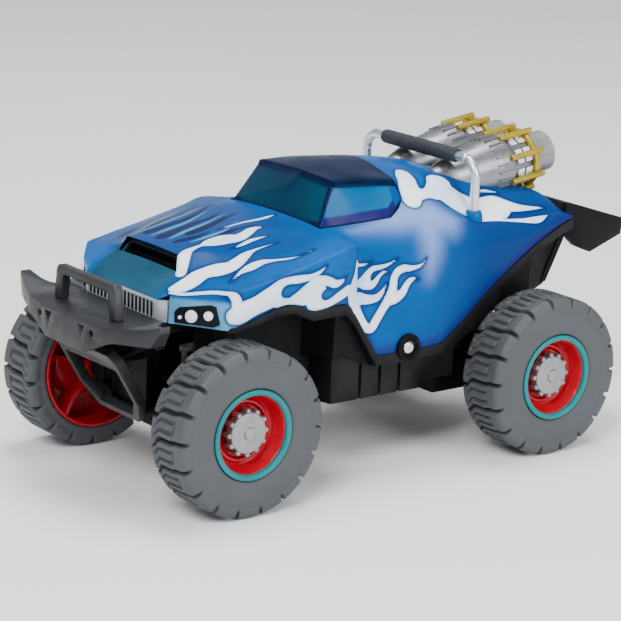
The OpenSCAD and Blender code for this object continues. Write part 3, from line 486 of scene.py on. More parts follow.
# half of the moulded shell, nose to tail; each row runs from the centre line over the hood and
# the crest and down the side to the lower edge, measured from the middle of the wheelbase
SHELL = [
    [(109, 0, 81), (109, 28, 81), (106, 33, 81), (101, 40, 81), (92.5, 54, 81), (91.5, 55.5, 81),
     (91, 56, 81), (90.5, 56.2, 81)],
    [(109, 0, 91), (109, 28, 91), (105.5, 33, 94), (103.5, 40, 93.7), (91.5, 56, 96.5), (90.5, 57, 93),
     (90, 57, 88), (89.5, 56.5, 82)],
    [(103, 0, 96), (103, 27.5, 95.7), (102, 31, 95.8), (100, 38.5, 95.4), (88, 57, 97.6),
     (86.5, 58, 93), (86, 58, 87), (86, 57, 82.3)],
    [(95.5, 0, 101.3), (95.5, 23, 100.8), (95, 30, 100), (93, 40, 98.8), (82, 57.5, 98.6),
     (81, 58.5, 94.5), (80.5, 58.5, 89.5), (80.5, 57.5, 84)],
    [(93, 0, 108), (93, 20, 107.5), (91.5, 27.5, 103), (88, 40, 101), (76, 58, 99.8), (75, 59, 96),
     (74.5, 59, 91), (74.5, 58, 86)],
    [(84, 0, 109.5), (84, 21, 108.5), (82, 30, 105.5), (79, 41, 103), (68, 58.3, 101.3),
     (67, 59.2, 97.5), (66.5, 59.2, 93), (66.5, 58, 88.3)],
    [(70, 0, 111.5), (70, 22, 110.7), (69, 32, 108.8), (66, 42, 106.5), (57, 58.5, 103.6),
     (56.5, 59.3, 99.5), (56.5, 59.2, 94.5), (56.5, 57.8, 88.8)],
    [(54, 0, 113.5), (54, 23, 113), (53, 33, 111.5), (51, 43, 109.5), (45, 58.5, 106.3),
     (45, 59.2, 101.5), (45, 58.6, 93.5), (45, 57, 84)],
    [(38, 0, 115), (38, 24, 114.7), (37.5, 34, 113.5), (36.5, 44, 112), (34, 58.3, 109),
     (34, 58.8, 103.5), (34, 57.8, 94.5), (34, 56, 84.5)],
    [(26.8, 0, 116.4), (26.6, 24, 115.7), (26, 34.6, 114.4), (24.5, 46, 113.3), (24, 57.5, 111.3),
     (24, 58, 104.5), (24, 57, 95), (25, 55, 84)],
    [(17, 0, 116), (17, 24, 115.8), (17, 36.3, 115), (17, 45, 112.5), (17, 52, 109), (17, 53.5, 102.5),
     (17, 53.5, 93), (18.5, 53, 78)],
    [(4, 0, 116), (4, 24, 115.8), (4, 37.5, 115.5), (4, 45, 112.5), (4, 50.5, 108), (4, 53, 98),
     (4, 53.5, 80), (5, 53, 57)],
    station(-11.5, (0, 116), (24, 116), (39, 116.5), (45, 113.5), (50.5, 109), (53.5, 98), (54, 78),
            (53.5, 57)),
    [(-21, 0, 136.6), (-21, 28.2, 131.1), (-19, 37, 123), (-19, 44.5, 116), (-19, 50, 110),
     (-19, 53.5, 98), (-19, 54, 78), (-19, 53.5, 57)],
    station(-33, (0, 135.4), (28, 130.7), (38, 121.5), (44, 117.5), (50, 112), (53.5, 99), (53.5, 79),
            (53, 57.5)),
    station(-48, (0, 132.8), (27.5, 129.4), (39, 117), (44.5, 114), (49, 110.5), (52.5, 101), (53, 86),
            (52.5, 68)),
    station(-60, (0, 130), (27, 126.8), (40, 112), (44.5, 110.5), (48.5, 108.5), (52, 103), (52.3, 92),
            (51.5, 77)),
    station(-75, (0, 125.8), (27, 123), (40.5, 109.5), (44, 109), (47.5, 107.5), (50.5, 103.5),
            (51, 97), (50.5, 87)),
    station(-95, (0, 121.3), (27.5, 119.5), (41, 108.5), (43.5, 108.3), (46, 107.5), (48.5, 105),
            (49, 102), (48.7, 98)),
    station(-111, (0, 117), (30, 116), (42, 109.5), (43.5, 109.3), (45.5, 108.8), (47, 107.5),
            (47.3, 106), (47, 104.3)),
    station(-118, (0, 108), (30, 108), (42, 107.8), (43.5, 107.8), (45, 107.5), (46, 107),
            (46.3, 106.5), (46.3, 106))]
# windows left open: first row, last row, first column, last column, counted from the centre line
SHELL_WINDOWS = [(0, 1, 0, 2), (3, 4, 0, 1), (9, 13, 0, 2)]
# corners of the openings: row, column
SHELL_CORNERS = [(9, 2), (12, 2), (13, 1), (3, 1), (4, 1), (1, 2), (0, 2)]
# folds kept crisp: column, first row, last row, sharpness
SHELL_FOLDS = [(4, 1, 9, 0.75), (4, 9, 13, 0.35), (1, 0, 3, 0.8), (2, 0, 3, 0.6), (1, 13, 19, 0.6),
               (2, 14, 19, 0.55), (3, 15, 20, 0.3), (1, 4, 7, 0.45), (4, 14, 20, 0.3)]
# rows kept crisp: row, first column, last column, sharpness
SHELL_RIDGES = [(1, 0, 7, 0.85), (2, 0, 3, 0.5), (3, 0, 2, 0.5), (4, 0, 1, 0.9), (10, 3, 7, 0.25),
                (13, 0, 2, 0.5), (19, 0, 4, 0.3)]


def full_row(row):
    return [(x, -y, z) for x, y, z in row[:0:-1]] + list(row)


def mirrored_grid(half):
    """Points, row count and column count of a full grid from its half rows."""
    rows = [full_row(r) for r in half]
    return [(x + MID_X, y, z) for r in rows for x, y, z in r], len(rows), len(rows[0])


def in_window(r, c, mid):
    """Whether the quad at row r, column c lies in one of the openings left for cab, scoop and grille."""
    half = c - mid if c >= mid else mid - 1 - c
    return any(a <= r < b and lo <= half < hi for a, b, lo, hi in SHELL_WINDOWS)


def fold_creases(cols, mid, folds, ridges, corners):
    """Crease weights, alike on both sides, of folds down columns, ridges along rows and corners."""
    creases = {}
    for col, first, last, weight in folds:
        for c in {mid + col, mid - col}:
            for r in range(first, last):
                creases[(r * cols + c, (r + 1) * cols + c)] = weight
    for row, first, last, weight in ridges:
        for c in range(first, last):
            for a, b in ((mid + c, mid + c + 1), (mid - c - 1, mid - c)):
                creases[(row * cols + a, row * cols + b)] = weight
    for row, col in corners:
        creases.update({row * cols + mid + col: 1.0, row * cols + mid - col: 1.0})
    return creases


# how far round a stroke its distance is worked out, and the distance given to all other points
REACH = 16
FAR = 50.0


def nearest_on_strokes(p, strokes):
    """For each point, the distance to the nearest painted stroke less its half width there.
    A stroke is a smooth line through (x, y, z, half width) points."""
    best = np.full(len(p), FAR)
    for stroke in strokes:
        line = smooth_line(np.array(stroke, float), 5)
        lo, hi = line[:, :3].min(0) - REACH, line[:, :3].max(0) + REACH
        near = np.nonzero(((p > lo) & (p < hi)).all(1))[0]
        if not len(near):
            continue
        q = p[near]
        got = np.full(len(q), FAR)
        for a, b in zip(line[:-1], line[1:]):
            d = b[:3] - a[:3]
            t = np.clip(((q - a[:3]) @ d) / max(d @ d, 1e-9), 0, 1)
            gap = np.linalg.norm(q - (a[:3] + t[:, None] * d), axis=1)
            got = np.minimum(got, gap - (a[3] + t * (b[3] - a[3])))
        best[near] = np.minimum(best[near], got)
    return best


def smooth_line(points, steps):
    """A Catmull-Rom curve through the points."""
    p = np.vstack([2 * points[0] - points[1], points, 2 * points[-1] - points[-2]])
    out = []
    for i in range(1, len(p) - 2):
        for k in range(steps):
            t = k / steps
            out.append(0.5 * (2 * p[i] + (p[i + 1] - p[i - 1]) * t
                              + (2 * p[i - 1] - 5 * p[i] + 4 * p[i + 1] - p[i + 2]) * t * t
                              + (3 * p[i] - p[i - 1] - 3 * p[i + 1] + p[i + 2]) * t ** 3))
    out.append(p[-2])
    return np.array(out)


# printed flames: smooth strokes through (x, y, z, half width) points. Those on the hood are on its
# left half only, and are a little thinner than drawn. The others are alike on both sides.
HOOD_TRIM = 0.15
HOOD_FLAMES = [
    # over the left half of the hood, from the corner beside the scoop
    [(95, 26, 101, 3), (91, 22, 106, 3), (86, 19, 108.5, 2.2), (79, 18, 109.5, 1.4),
     (73, 18.5, 110.5, 4.5), (67, 19.5, 111, 5.5), (62, 22, 112, 4), (56, 20, 113, 3.2),
     (50, 17, 113.5, 2.4), (45, 18, 114, 0.3)],
    [(62, 7, 112.5, 0.6), (49, 6, 114, 1.2), (40, 7, 114.7, 1.6), (35, 7, 115, 1.6),
     (29, 6, 115.8, 0.2)],
    [(103, 30, 95.5, 1.6), (100, 33, 96.7, 4.2), (95, 34.5, 99, 4.8), (89, 35, 101.5, 4.2),
     (83, 37, 103, 4.8), (78, 38.5, 104, 3.8), (73, 38, 106, 3.2), (68, 36.5, 108, 2.4),
     (62, 35.5, 109.5, 0.9), (50, 36, 111.5, 0.2)],
    [(84, 48, 100.8, 0.7), (77, 45, 102.8, 1.2), (71, 44.5, 104.5, 2.5), (65, 44.5, 105.8, 2),
     (60, 46.5, 106.8, 1.1), (54, 49, 107.2, 0.8), (49, 50, 108, 0.6), (40, 49.5, 110, 0.2)],
    [(72, 29, 110, 0.3), (66, 29, 110.8, 1.2), (58, 28, 112, 1.4), (50, 28.5, 113, 0.2)],
    # along the front of the hood
    [(104.5, 32, 94.5, 1.3), (102, 38, 94.5, 1.3), (98, 43, 95.8, 1.5), (93, 49, 97, 1.7),
     (90.5, 54, 97.2, 2), (88, 57, 95.5, 2.4), (87.2, 57.8, 92.5, 2.8), (87, 57.9, 89.5, 3.2)],
]
FLAMES = [
    # along the top of the fender
    [(88, 57.5, 87.5, 4), (85, 58, 88.5, 5), (78, 58.5, 91, 4.4), (71, 58.7, 93.5, 5),
     (65, 58.7, 95.5, 5)],
    [(71, 58.7, 95.5, 3), (65, 58.7, 98.5, 2.8), (60, 58.8, 100, 2), (54.5, 59, 100.3, 1.8),
     (49, 59, 100.5, 1.4), (44, 59, 102, 0.9), (40, 58.8, 104.5, 0.1)],
    [(66, 58.7, 91, 2.6), (60, 58.7, 90.5, 1.9), (56, 58.7, 91.5, 3), (51, 58.7, 92.5, 5),
     (46, 58.5, 93, 5.5), (42, 58.5, 91, 4)],
    [(50, 59, 96, 2), (46, 59, 98, 2.2), (42, 58.7, 98, 2.4), (38, 58, 97, 2.2), (34, 57.5, 95.3, 2),
     (30.5, 57, 96, 1.5), (27.5, 57, 98.5, 0.2)],
    [(45, 58, 88.5, 4.6), (40, 57.5, 87, 3.2), (35, 57, 87, 2.4), (30, 56.5, 89, 2.6),
     (26, 56, 91, 2.8)],
    # down the front edge of the door
    [(20.5, 56, 103, 1.2), (21, 55.5, 98, 1.8), (21.5, 55, 93, 3.2), (21.5, 54.5, 88, 3.4),
     (19, 53.5, 82, 2.8), (15.5, 53.2, 76, 2.3), (11.5, 53, 70.5, 2)],
    [(11.5, 53, 70.5, 2), (8.5, 53, 70.5, 2.4), (6, 53.2, 74, 2.4), (2.5, 53.5, 79, 2.3),
     (-0.5, 53.5, 83, 2.6), (-2.5, 53.5, 88, 2.3), (-3, 53.5, 92, 2.1), (-5, 53.5, 95, 2),
     (-8.5, 53.5, 96.2, 1.8), (-13, 53.3, 95.8, 1.3), (-18.5, 53.5, 96.5, 0.7), (-22, 53.3, 99.5, 0.1)],
    [(-1, 53.5, 82.5, 2.8), (-4.5, 53.5, 83, 2.6), (-8, 53.7, 85, 2.2), (-10, 53.7, 88, 1.8),
     (-12, 53.6, 90, 1.5), (-14.5, 53.5, 90.7, 0.9), (-17.5, 53.6, 90, 0.2)],
    [(19.5, 55.5, 101.5, 1.1), (16, 54, 100.7, 0.9), (12.5, 53.5, 100.8, 0.7), (9, 53.2, 101.6, 0.1)],
    [(17.5, 53.5, 92.5, 1.8), (14, 53.5, 93, 3), (12, 53.5, 96, 1.9), (9, 53.4, 98, 1.4),
     (4.5, 53.2, 98.3, 1.1), (0, 53, 99, 0.7), (-5.5, 52.7, 101, 0.1)],
    [(14, 53.5, 91.5, 2.4), (10, 53.5, 90.5, 1.9), (7.5, 53.5, 92, 1.5), (5.5, 53.4, 94.2, 1),
     (3, 53.3, 95.6, 0.7), (0, 53.2, 95.4, 0.1)],
    [(17, 53.3, 85.5, 2.7), (13, 53.4, 84.3, 2.4), (9, 53.5, 84, 2), (6, 53.5, 84.6, 1.8),
     (3.5, 53.5, 86.8, 1.1), (1, 53.5, 90.5, 0.1)],
    # behind the cab and along the rear deck
    [(-31, 22, 132, 3.5), (-29, 26.5, 131.3, 4.5), (-27.5, 31, 128, 5.5), (-26.5, 34, 125, 6),
     (-25, 36.5, 122.8, 5)],
    [(-28, 35, 124.5, 4), (-35.5, 34, 124.5, 3.1), (-41.5, 33, 125, 5.2), (-46, 32.5, 125, 6.3),
     (-50, 34, 121.5, 6.5), (-55, 36.5, 119, 6.5), (-60, 37.5, 116.5, 6.5)],
    [(-42, 29, 129, 2.5), (-47, 27.5, 129, 3), (-52, 29, 127, 2.5)],
    [(-61.5, 39, 112.5, 3), (-67, 37.5, 113.5, 6), (-73.5, 37, 113.5, 7), (-79, 36, 113.5, 6.5),
     (-84.5, 35.5, 113.5, 3.8), (-93, 37, 112, 2), (-106, 39, 111, 0.2)],
    [(-61, 43.5, 110.5, 1.2), (-70, 41, 110, 2.6), (-77.5, 42.5, 109, 2.2), (-84, 44, 108.5, 2),
     (-90.5, 45, 108, 2.3), (-96.5, 45, 108, 2.6), (-103.5, 44, 108.5, 0.3)],
    [(-69.5, 30.5, 120.5, 0.5), (-76, 29.5, 120.5, 0.9), (-84, 30, 119, 0.1)],
]
# rounded gaps left in the printed flames
FLAME_GAPS = [
    [(64, 59, 95, 1), (61.5, 59, 95.5, 3), (58, 59, 96.2, 2.4), (54, 59, 97.2, 1.1),
     (49.5, 59, 98.6, 0.1)],
    [(40.5, 58, 90.8, 1), (38.5, 57.5, 91, 2.8), (35.5, 57, 91, 2), (31, 56.5, 92.3, 0.6),
     (27, 56.5, 94.5, 0.1)],
    [(-44, 21, 130.5, 2), (-39, 25.5, 130.2, 2.8), (-36, 30, 128.5, 2.4), (-34.5, 32.3, 126.8, 0.8)],
    [(-53, 25, 128.3, 2.4), (-57, 27.5, 127, 3), (-61, 29, 125.5, 2.6)],
]
# deeper blue licks printed over the middle and the right half of the hood
LICKS = [
    [(86, 6, 109, 0.3), (82, 6.5, 109.8, 1.6), (75, 7.5, 110.6, 1.2), (66, 6.5, 111.6, 0.3)],
    [(76, 2, 110.4, 0.3), (72, 1, 111, 2.4), (61, -1, 112.5, 1.8), (49, -6, 114, 1),
     (39, -9, 114.6, 0.2)],
    [(87, -4, 109, 0.4), (84, -5, 109.4, 2.8), (76, -7, 110.5, 2), (64, -9.5, 112, 1.6),
     (55, -10.5, 113, 1), (44, -16, 114, 0.2)],
    [(86, -16, 108.8, 0.4), (83, -17, 109.2, 2.4), (72, -18, 110.5, 1.8), (59, -19.5, 112.3, 1.5),
     (37, -33, 113.5, 0.3)],
    [(80, -27, 107.5, 0.4), (76, -28, 108.5, 2.6), (66, -30, 109.8, 2), (52, -33, 111.2, 1.2),
     (42, -38, 111.8, 0.2)],
    [(86, -38, 102.5, 0.6), (80, -40, 103.5, 3), (70, -42, 105.5, 2.4), (58, -45, 107.4, 1.2),
     (48, -46, 109, 0.2)],
    [(66, 13, 111.8, 0.3), (62, 13, 112.3, 1.4), (55, 12, 113.2, 0.8), (46, 13, 114.2, 0.2)],
]
# pale edges that run along the licks
EDGES = [
    [(80, 11.5, 110, 0.3), (70, 11, 111.2, 0.8), (60, 9.5, 112.6, 0.6), (48, 2, 114, 0.1)],
    [(84, 0.5, 109.4, 0.3), (74, -2.5, 110.8, 0.9), (62, -5, 112.4, 0.7), (46, -11, 114.2, 0.1)],
    [(86, -11, 109, 0.3), (76, -12.5, 110.3, 0.9), (64, -14.5, 112, 0.7), (48, -22, 113.8, 0.1)],
    [(84, -22.5, 108, 0.3), (74, -23.5, 109.8, 0.9), (60, -25.5, 111.6, 0.7), (44, -33, 113.2, 0.1)],
    [(82, -33, 105.5, 0.3), (72, -35, 107.4, 0.9), (60, -38, 109.2, 0.7), (46, -43, 110.6, 0.1)],
]
# soft painted highlights along the shoulder and down the door
HIGHLIGHT_STROKES = [
    [(14, 42, 113, -4), (2, 42, 115.2, -1), (-10, 41.5, 117, 3), (-20, 42, 118.5, 5),
     (-29, 44.5, 116.5, 6), (-38, 47, 113, 2)],
    [(-26, 46, 114, 4), (-26, 50, 107, 2), (-25, 53, 99, 0), (-24, 53.6, 91, -3)],
]


def step(x, lo, hi):
    """0 below lo, 1 above hi, and a smooth rise between."""
    t = np.clip((x - lo) / (hi - lo), 0, 1)
    return t * t * (3 - 2 * t)


def build_shell():
    """The painted skin, and a lining a little inside it."""
    verts, rows, cols = mirrored_grid(SHELL)
    mid = cols // 2
    faces = grid_faces(rows, cols, lambda r, c: not in_window(r, c, mid))
    creases = fold_creases(cols, mid, SHELL_FOLDS, SHELL_RIDGES, SHELL_CORNERS)
    skin = subdivided("shell_moulding", verts, faces, creases, 4)
    finished(skin)
    paint_shell(skin)
    settle(skin, "chassis", "shell_blue", replaced=["body_shell"])
    inner = [(x * 0.984, y * 0.968, 60 + (z - 60) * 0.966) for x, y, z in verts]
    lining = subdivided("shell_inside", inner, faces, creases, 2)
    finished(lining)
    settle(lining, "chassis", "shell_blue", MATS["shell_inside"])


def paint_shell(skin):
    """The print, and the painted highlights and painted shade, as attributes that the shell's material
    reads.
    """
    p = points_mm(skin)
    p[:, 0] -= MID_X
    hood = nearest_on_strokes(p, HOOD_FLAMES) + HOOD_TRIM
    licks, edges = nearest_on_strokes(p, LICKS), nearest_on_strokes(p, EDGES)
    p[:, 1] = abs(p[:, 1])
    sides = np.maximum(nearest_on_strokes(p, FLAMES), -nearest_on_strokes(p, FLAME_GAPS))
    x, y, z = p.T
    lower = np.array([row[7] for row in SHELL], float)[::-1]
    above_edge = z - np.interp(x, lower[:, 0], lower[:, 2])
    hood_shade = 0.6 * step(x, 20, 45) * (1 - step(y, 42, 54)) * step(z, 98, 103)
    values = {
        "lick": licks,
        "edge": edges,
        "printed": np.minimum(sides, hood),
        "nose": step(x, 92.5, 94.5) * (1 - step(y, 25.0, 27.5)) * (1 - step(z, 101.5, 103)),
        # painted shadow along the lower edge of the door and tail
        "low": (1 - step(above_edge, 0.0, 9.0)) * (1 - step(x, 10, 40)) * 0.8,
        # painted highlight along the shoulder and down the door
        "glow": 1 - step(nearest_on_strokes(p, HIGHLIGHT_STROKES), -8.0, 15.0),
        "brow": step(x, 80, 90) * step(y, 29, 33) * (1 - step(z, 92, 94.5)),
        # painted shade: darker towards the tail, less so on top, and on the hood before the cab
        "rear": np.maximum(step(-x, 12, 70) * (1 - 0.5 * step(z, 110, 118)), hood_shade),
    }
    for key, value in values.items():
        set_attribute(skin, key, value)


def build_sockets():
    """Plain blue sockets that hold the feet of the roll bar."""
    profile = rounded([(2.3, 108), (4.4, 108), (4.4, 112.6), (3.6, 115), (2.3, 115)], 0.5)
    for side, label in SIDES:
        def at(p, side=side):
            return MID_X - 60 + p[0], side * 40.5 + p[1], p[2]
        obj = make_mesh("roll_bar_socket_" + label, *lathe(profile, 40, at), 40)
        for key in ("printed", "lick", "edge"):
            set_attribute(obj, key, np.full(len(obj.data.vertices), FAR))
        settle(obj, "chassis", "shell_blue")


# ---------------------------------------------------------------- cab

# half of the cab moulding, front to rear; each row runs from the centre line to the windows' foot
CANOPY = [
    [(26.3, 0, 116.4), (26.2, 18, 116), (26, 28.5, 115.2), (25.8, 32.6, 114.8), (25.6, 34, 114.5)],
    [(15, 0, 134.4), (14.8, 17, 134), (14.4, 25.6, 133.4), (14, 28, 132.6), (12.6, 36.1, 115.3)],
    [(3, 0, 136.2), (3, 18, 134.9), (2.6, 26.8, 133.1), (2, 29, 132.1), (0, 37.3, 115.8)],
    [(-9, 0, 136.8), (-9, 18, 134.3), (-9.6, 27.4, 132.5), (-10.5, 29.8, 131.5), (-11.3, 38.6, 116.8)],
    [(-20.6, 0, 136.4), (-20.6, 20, 132.7), (-20.6, 28, 130.9), (-19.6, 32.3, 127.3),
     (-18.7, 36.6, 123.2)]]


CANOPY_FOLDS = [(3, 0, 4, 0.7), (2, 0, 1, 0.5)]
CANOPY_RIDGES = [(1, 0, 3, 0.8)]
CANOPY_CORNERS = [(0, 4), (1, 4), (3, 4), (4, 4), (4, 2), (0, 3)]


def build_canopy():
    """The tinted moulding: windscreen, side windows and posts in one."""
    verts, rows, cols = mirrored_grid(CANOPY)
    creases = fold_creases(cols, cols // 2, CANOPY_FOLDS, CANOPY_RIDGES, CANOPY_CORNERS)
    glass = subdivided("canopy_moulding", verts, grid_faces(rows, cols), creases, 4)
    finished(glass)
    p = points_mm(glass)
    x, y, z = p[:, 0] - MID_X, abs(p[:, 1]), p[:, 2]
    post_x = 13.4 + (132.6 - z) * 0.64
    side = step(y, 26.6, 27.6) * (1 - step(x - post_x, -0.5, 0.3))
    foot_z = np.interp(x, [-19, -11.5, 25.5], [123, 116.7, 114.5])
    roof_z = np.interp(y, [0, 28], [134.2, 132.8])
    inset = np.minimum(np.minimum(z - 114.8, 28 + (132.6 - z) * 0.33 - y), roof_z - z)
    set_attribute(glass, "side", side)
    set_attribute(glass, "foot", np.where(side > 0.3, (z - foot_z) / 20, 1.0))
    set_attribute(glass, "border", 1 - step(inset, 1.4, 2.2))
    set_attribute(glass, "post", (1 - step(x, -15.8, -15.0)) * side)
    settle(glass, "chassis", "canopy_tint", replaced=["canopy"])


def build_roof():
    """The navy roof, a little proud of the cab moulding, with a lip that turns down at its sides."""
    roof = [[(x, y * 1.005, z + 0.9) for x, y, z in row[:3]] for row in CANOPY[1:]]
    edge = [CANOPY[1][3], CANOPY[2][3], CANOPY[3][3], (-20, 29.6, 129.6)]
    for row, (x, y, z) in zip(roof, edge):
        row += [(x, y + 0.5, z + 0.5), (x, y + 1.4, z - 1.4)]
    roof[0] = [(x + 0.3, y, z) for x, y, z in roof[0]]
    verts, rows, cols = mirrored_grid(roof)
    top = subdivided("roof_moulding", verts, grid_faces(rows, cols), {}, 4)
    thick = top.modifiers.new("thick", "SOLIDIFY")
    thick.thickness = 0.9 * MM
    thick.offset = -1
    bake_modifiers(top)
    finished(top, 50)
    settle(top, "chassis", "roof_navy", replaced=["roof_panel"])


def build_canopy_beads():
    """The bead along the foot of the side windows."""
    for side, label in SIDES:
        pts = [(x + MID_X, side * (y + 0.2), z + 0.1) for x, y, z in (row[4] for row in CANOPY)]
        settle(make_mesh(f"canopy_bead_{label}", *tube(pts, 0.45, 8, 1)), "chassis", "roof_navy")


def tube(points, radius, sides, steps):
    """A round tube along a smooth line through the points."""
    line = smooth_line(np.array(points, float), steps)
    verts = []
    up = None
    for i, q in enumerate(line):
        ahead = line[min(i + 1, len(line) - 1)] - line[max(i - 1, 0)]
        ahead = ahead / np.linalg.norm(ahead)
        if up is None:
            up = np.cross(ahead, [0.3, 0.9, 0.1])
        up = up - ahead * (up @ ahead)
        up = up / np.linalg.norm(up)
        out = np.cross(ahead, up)
        for k in range(sides):
            a = 2 * math.pi * k / sides
            verts.append(tuple(q + (up * math.cos(a) + out * math.sin(a)) * radius))
    last = (len(line) - 1) * sides
    faces = [(i + k, i + (k + 1) % sides, i + sides + (k + 1) % sides, i + sides + k)
             for i in range(0, last, sides) for k in range(sides)]
    faces += [tuple(range(sides)), tuple(range(last, last + sides))]
    return verts, faces


# ---------------------------------------------------------------- wheels

WHEELS = {"front_left": (FRONT_X, 1), "front_right": (FRONT_X, -1),
          "rear_left": (REAR_X, 1), "rear_right": (REAR_X, -1)}
LUGS = 18
LUG_STEPS = 28
LUG_H = 3.0
TYRE_W = 26.0
CORE_R = TYRE_R - LUG_H


def wheel_place(x, side):
    """Turns a wheel's own frame, Z from its inner face outwards, into the part's."""
    return lambda p: (x + p[0], side * (INNER_Y + p[2]), AXLE_Z + p[1])


def turned(place, a):
    """A placement turned by an angle about its own Z."""
    c, s = math.cos(a), math.sin(a)
    return lambda p: place((p[0] * c - p[1] * s, p[0] * s + p[1] * c, p[2]))


def shifted(place, radius, a):
    """A placement moved out from its own Z, at an angle round it."""
    x, y = radius * math.cos(a), radius * math.sin(a)
    return lambda p: place((x + p[0], y + p[1], p[2]))


def lug_height(angle, z):
    """How far the tread stands out, from 0 in a gap to 1 on a lug, round the tyre and across it.
    Each lug is a bar across the tread, hooked at its inner end, with a hairpin groove in it."""
    pitch = 2 * math.pi * TYRE_R / LUGS
    hook = 3.4 * (1 - step(z, 4.0, 8.0)) - 1.2 * step(z, 15.0, 21.0)
    u = ((angle / (2 * math.pi) * LUGS + hook / pitch) % 1.0 - 0.5) * pitch
    lug = 1 - step(abs(u), pitch / 2 - 1.25, pitch / 2 - 0.55)
    arm = (1 - step(abs(abs(u) - 2.3), 0.5, 1.0)) * step(z, 3.0, 4.0) * (1 - step(z, 18.2, 19.0))
    bend = (1 - step(abs(z - 18.2), 0.5, 1.0)) * (1 - step(abs(u), 2.4, 3.1))
    return lug * (1 - 0.42 * np.maximum(arm, bend))


def tyre_outline():
    """The tyre's section under the lugs as (radius, height) points, and the normals out of it."""
    path = rounded([(29, 0.9), (29, 19.9), (20.7, 22.6), (20.7, 25.2), (22.2, TYRE_W), (30.5, TYRE_W),
                    (CORE_R - 0.5, TYRE_W - 0.9), (CORE_R, TYRE_W - 3)], 0.8, 3, closed=False)
    path += [(CORE_R, z) for z in np.linspace(TYRE_W - 3.5, 3.5, 41)]
    path += rounded([(CORE_R, 3), (CORE_R - 0.5, 0.9), (31, 0), (29.8, 0)], 0.8, 3, closed=False)
    fine = []
    for a, b in zip(path, path[1:] + path[:1]):
        fine.append(a)
        if min(a[0], b[0]) > 30 and math.dist(a, b) > 0.9:
            cuts = int(math.dist(a, b) / 0.6)
            fine += [(a[0] + (b[0] - a[0]) * k / cuts, a[1] + (b[1] - a[1]) * k / cuts)
                     for k in range(1, cuts)]
    path = np.array(fine)
    ahead = np.roll(path, -1, 0) - np.roll(path, 1, 0)
    normal = np.column_stack([ahead[:, 1], -ahead[:, 0]])
    normal /= np.linalg.norm(normal, axis=1)[:, None]
    if normal[np.argmax(path[:, 0])][0] < 0:
        normal = -normal
    return path, normal


def build_tyre(label):
    """The tyre, with its lugs raised from the turned section along the section's normals."""
    path, normal = tyre_outline()
    steps, n = LUGS * LUG_STEPS, len(path)
    angles = np.arange(steps) * 2 * math.pi / steps
    a, r = np.meshgrid(angles, path[:, 0], indexing="ij")
    z = np.broadcast_to(path[:, 1], r.shape)
    h = lug_height(a, z) * step(r, CORE_R - 2.6, CORE_R - 0.9)
    rr = r + normal[:, 0] * h * LUG_H * step(r, CORE_R - 2.0, CORE_R)
    rr = rr * np.clip(TYRE_R / np.maximum(rr, 1e-6), 0, 1)
    zz = np.clip(z + normal[:, 1] * h * 0.8, 0.0, TYRE_W)
    place = wheel_place(*WHEELS[label])
    verts = [place((rr[i, k] * math.cos(angles[i]), rr[i, k] * math.sin(angles[i]), zz[i, k]))
             for i in range(steps) for k in range(n)]
    rows = [(i * n, (i + 1) % steps * n) for i in range(steps)]
    faces = [(i + k, j + k, j + (k + 1) % n, i + (k + 1) % n) for i, j in rows for k in range(n)]
    obj = make_mesh(f"tyre_{label}_tread", verts, faces, 62)
    set_attribute(obj, "lug", np.maximum(h, 1 - step(r, CORE_R - 2.0, CORE_R - 0.5)).ravel())
    settle(obj, BODY_OF["tyre_" + label], "tyre_grey", replaced=["tyre_" + label])


# sections of the wheel's turned parts as (radius, height), and one spoke's side view
RIM = [(27.4, 0), (28.9, 0), (28.9, 19.8), (20.5, 22.4), (20.5, 23.6), (17.7, 23.6), (16.9, 19.5),
       (15.6, 17.0), (14.4, 16.0), (14.1, 17.3), (12.6, 17.3), (12.1, 15.4), (5, 15.4), (5, 13.6),
       (12.5, 13.4), (15.5, 14.0), (18.0, 20.0), (25.5, 17.6), (26.8, 15.5)]
RIM_BOSS = [(2.1, 4), (5.2, 4), (5.6, 13), (5.2, 16.9), (2.1, 16.9)]
SPOKE = [(4.4, 5.3), (9, 4.6), (18, 6.6), (26.9, 4.4), (27.9, 14.5), (17.6, 16.5), (12, 13.8),
         (4.4, 13.8)]
WHEEL_RING = [(17.8, 23.65), (20.45, 23.65), (20.45, 25.7), (19.6, 26.0), (18.6, 26.0), (17.8, 25.3)]
HUB_DISC = [(0, 19.7), (2.3, 19.7), (2.4, 17.1), (9.3, 17.1), (9.3, 21.4), (8.9, 21.9), (3.0, 22.2),
            (2.9, 23.0), (2.5, 23.3), (0, 23.3)]
HUB_TOOTH = [(0, 17.1), (1.25, 17.1), (1.25, 20.9), (0.9, 21.5), (0, 21.5)]


def build_rim(label):
    """The red rim with its five spokes, and the teal ring round its mouth."""
    place = wheel_place(*WHEELS[label])
    parts = [lathe(rounded(RIM, 0.55, 3), 96, place), lathe(rounded(RIM_BOSS, 0.5), 48, place)]
    n = len(SPOKE)
    for i in range(5):
        at = turned(place, i * 2 * math.pi / 5 + 0.3)
        # 2.3 mm thick where it meets the boss, 1.8 mm further out
        verts = [at((a, t * (0.9 + 0.25 * (k in (0, n - 1))), b))
                 for t in (-1, 1) for k, (a, b) in enumerate(SPOKE)]
        faces = [tuple(range(n)), tuple(range(n, 2 * n))]
        faces += [(k, (k + 1) % n, n + (k + 1) % n, n + k) for k in range(n)]
        parts.append((verts, faces))
    body = BODY_OF["rim_" + label]
    settle(make_mesh(f"rim_{label}_moulded", *merge(parts), 42),
           body, "rim_red", replaced=["rim_" + label])
    settle(make_mesh(f"wheel_ring_{label}_moulded", *lathe(rounded(WHEEL_RING, 0.3), 96, place), 40),
           body, "ring_teal", replaced=["wheel_ring_" + label])


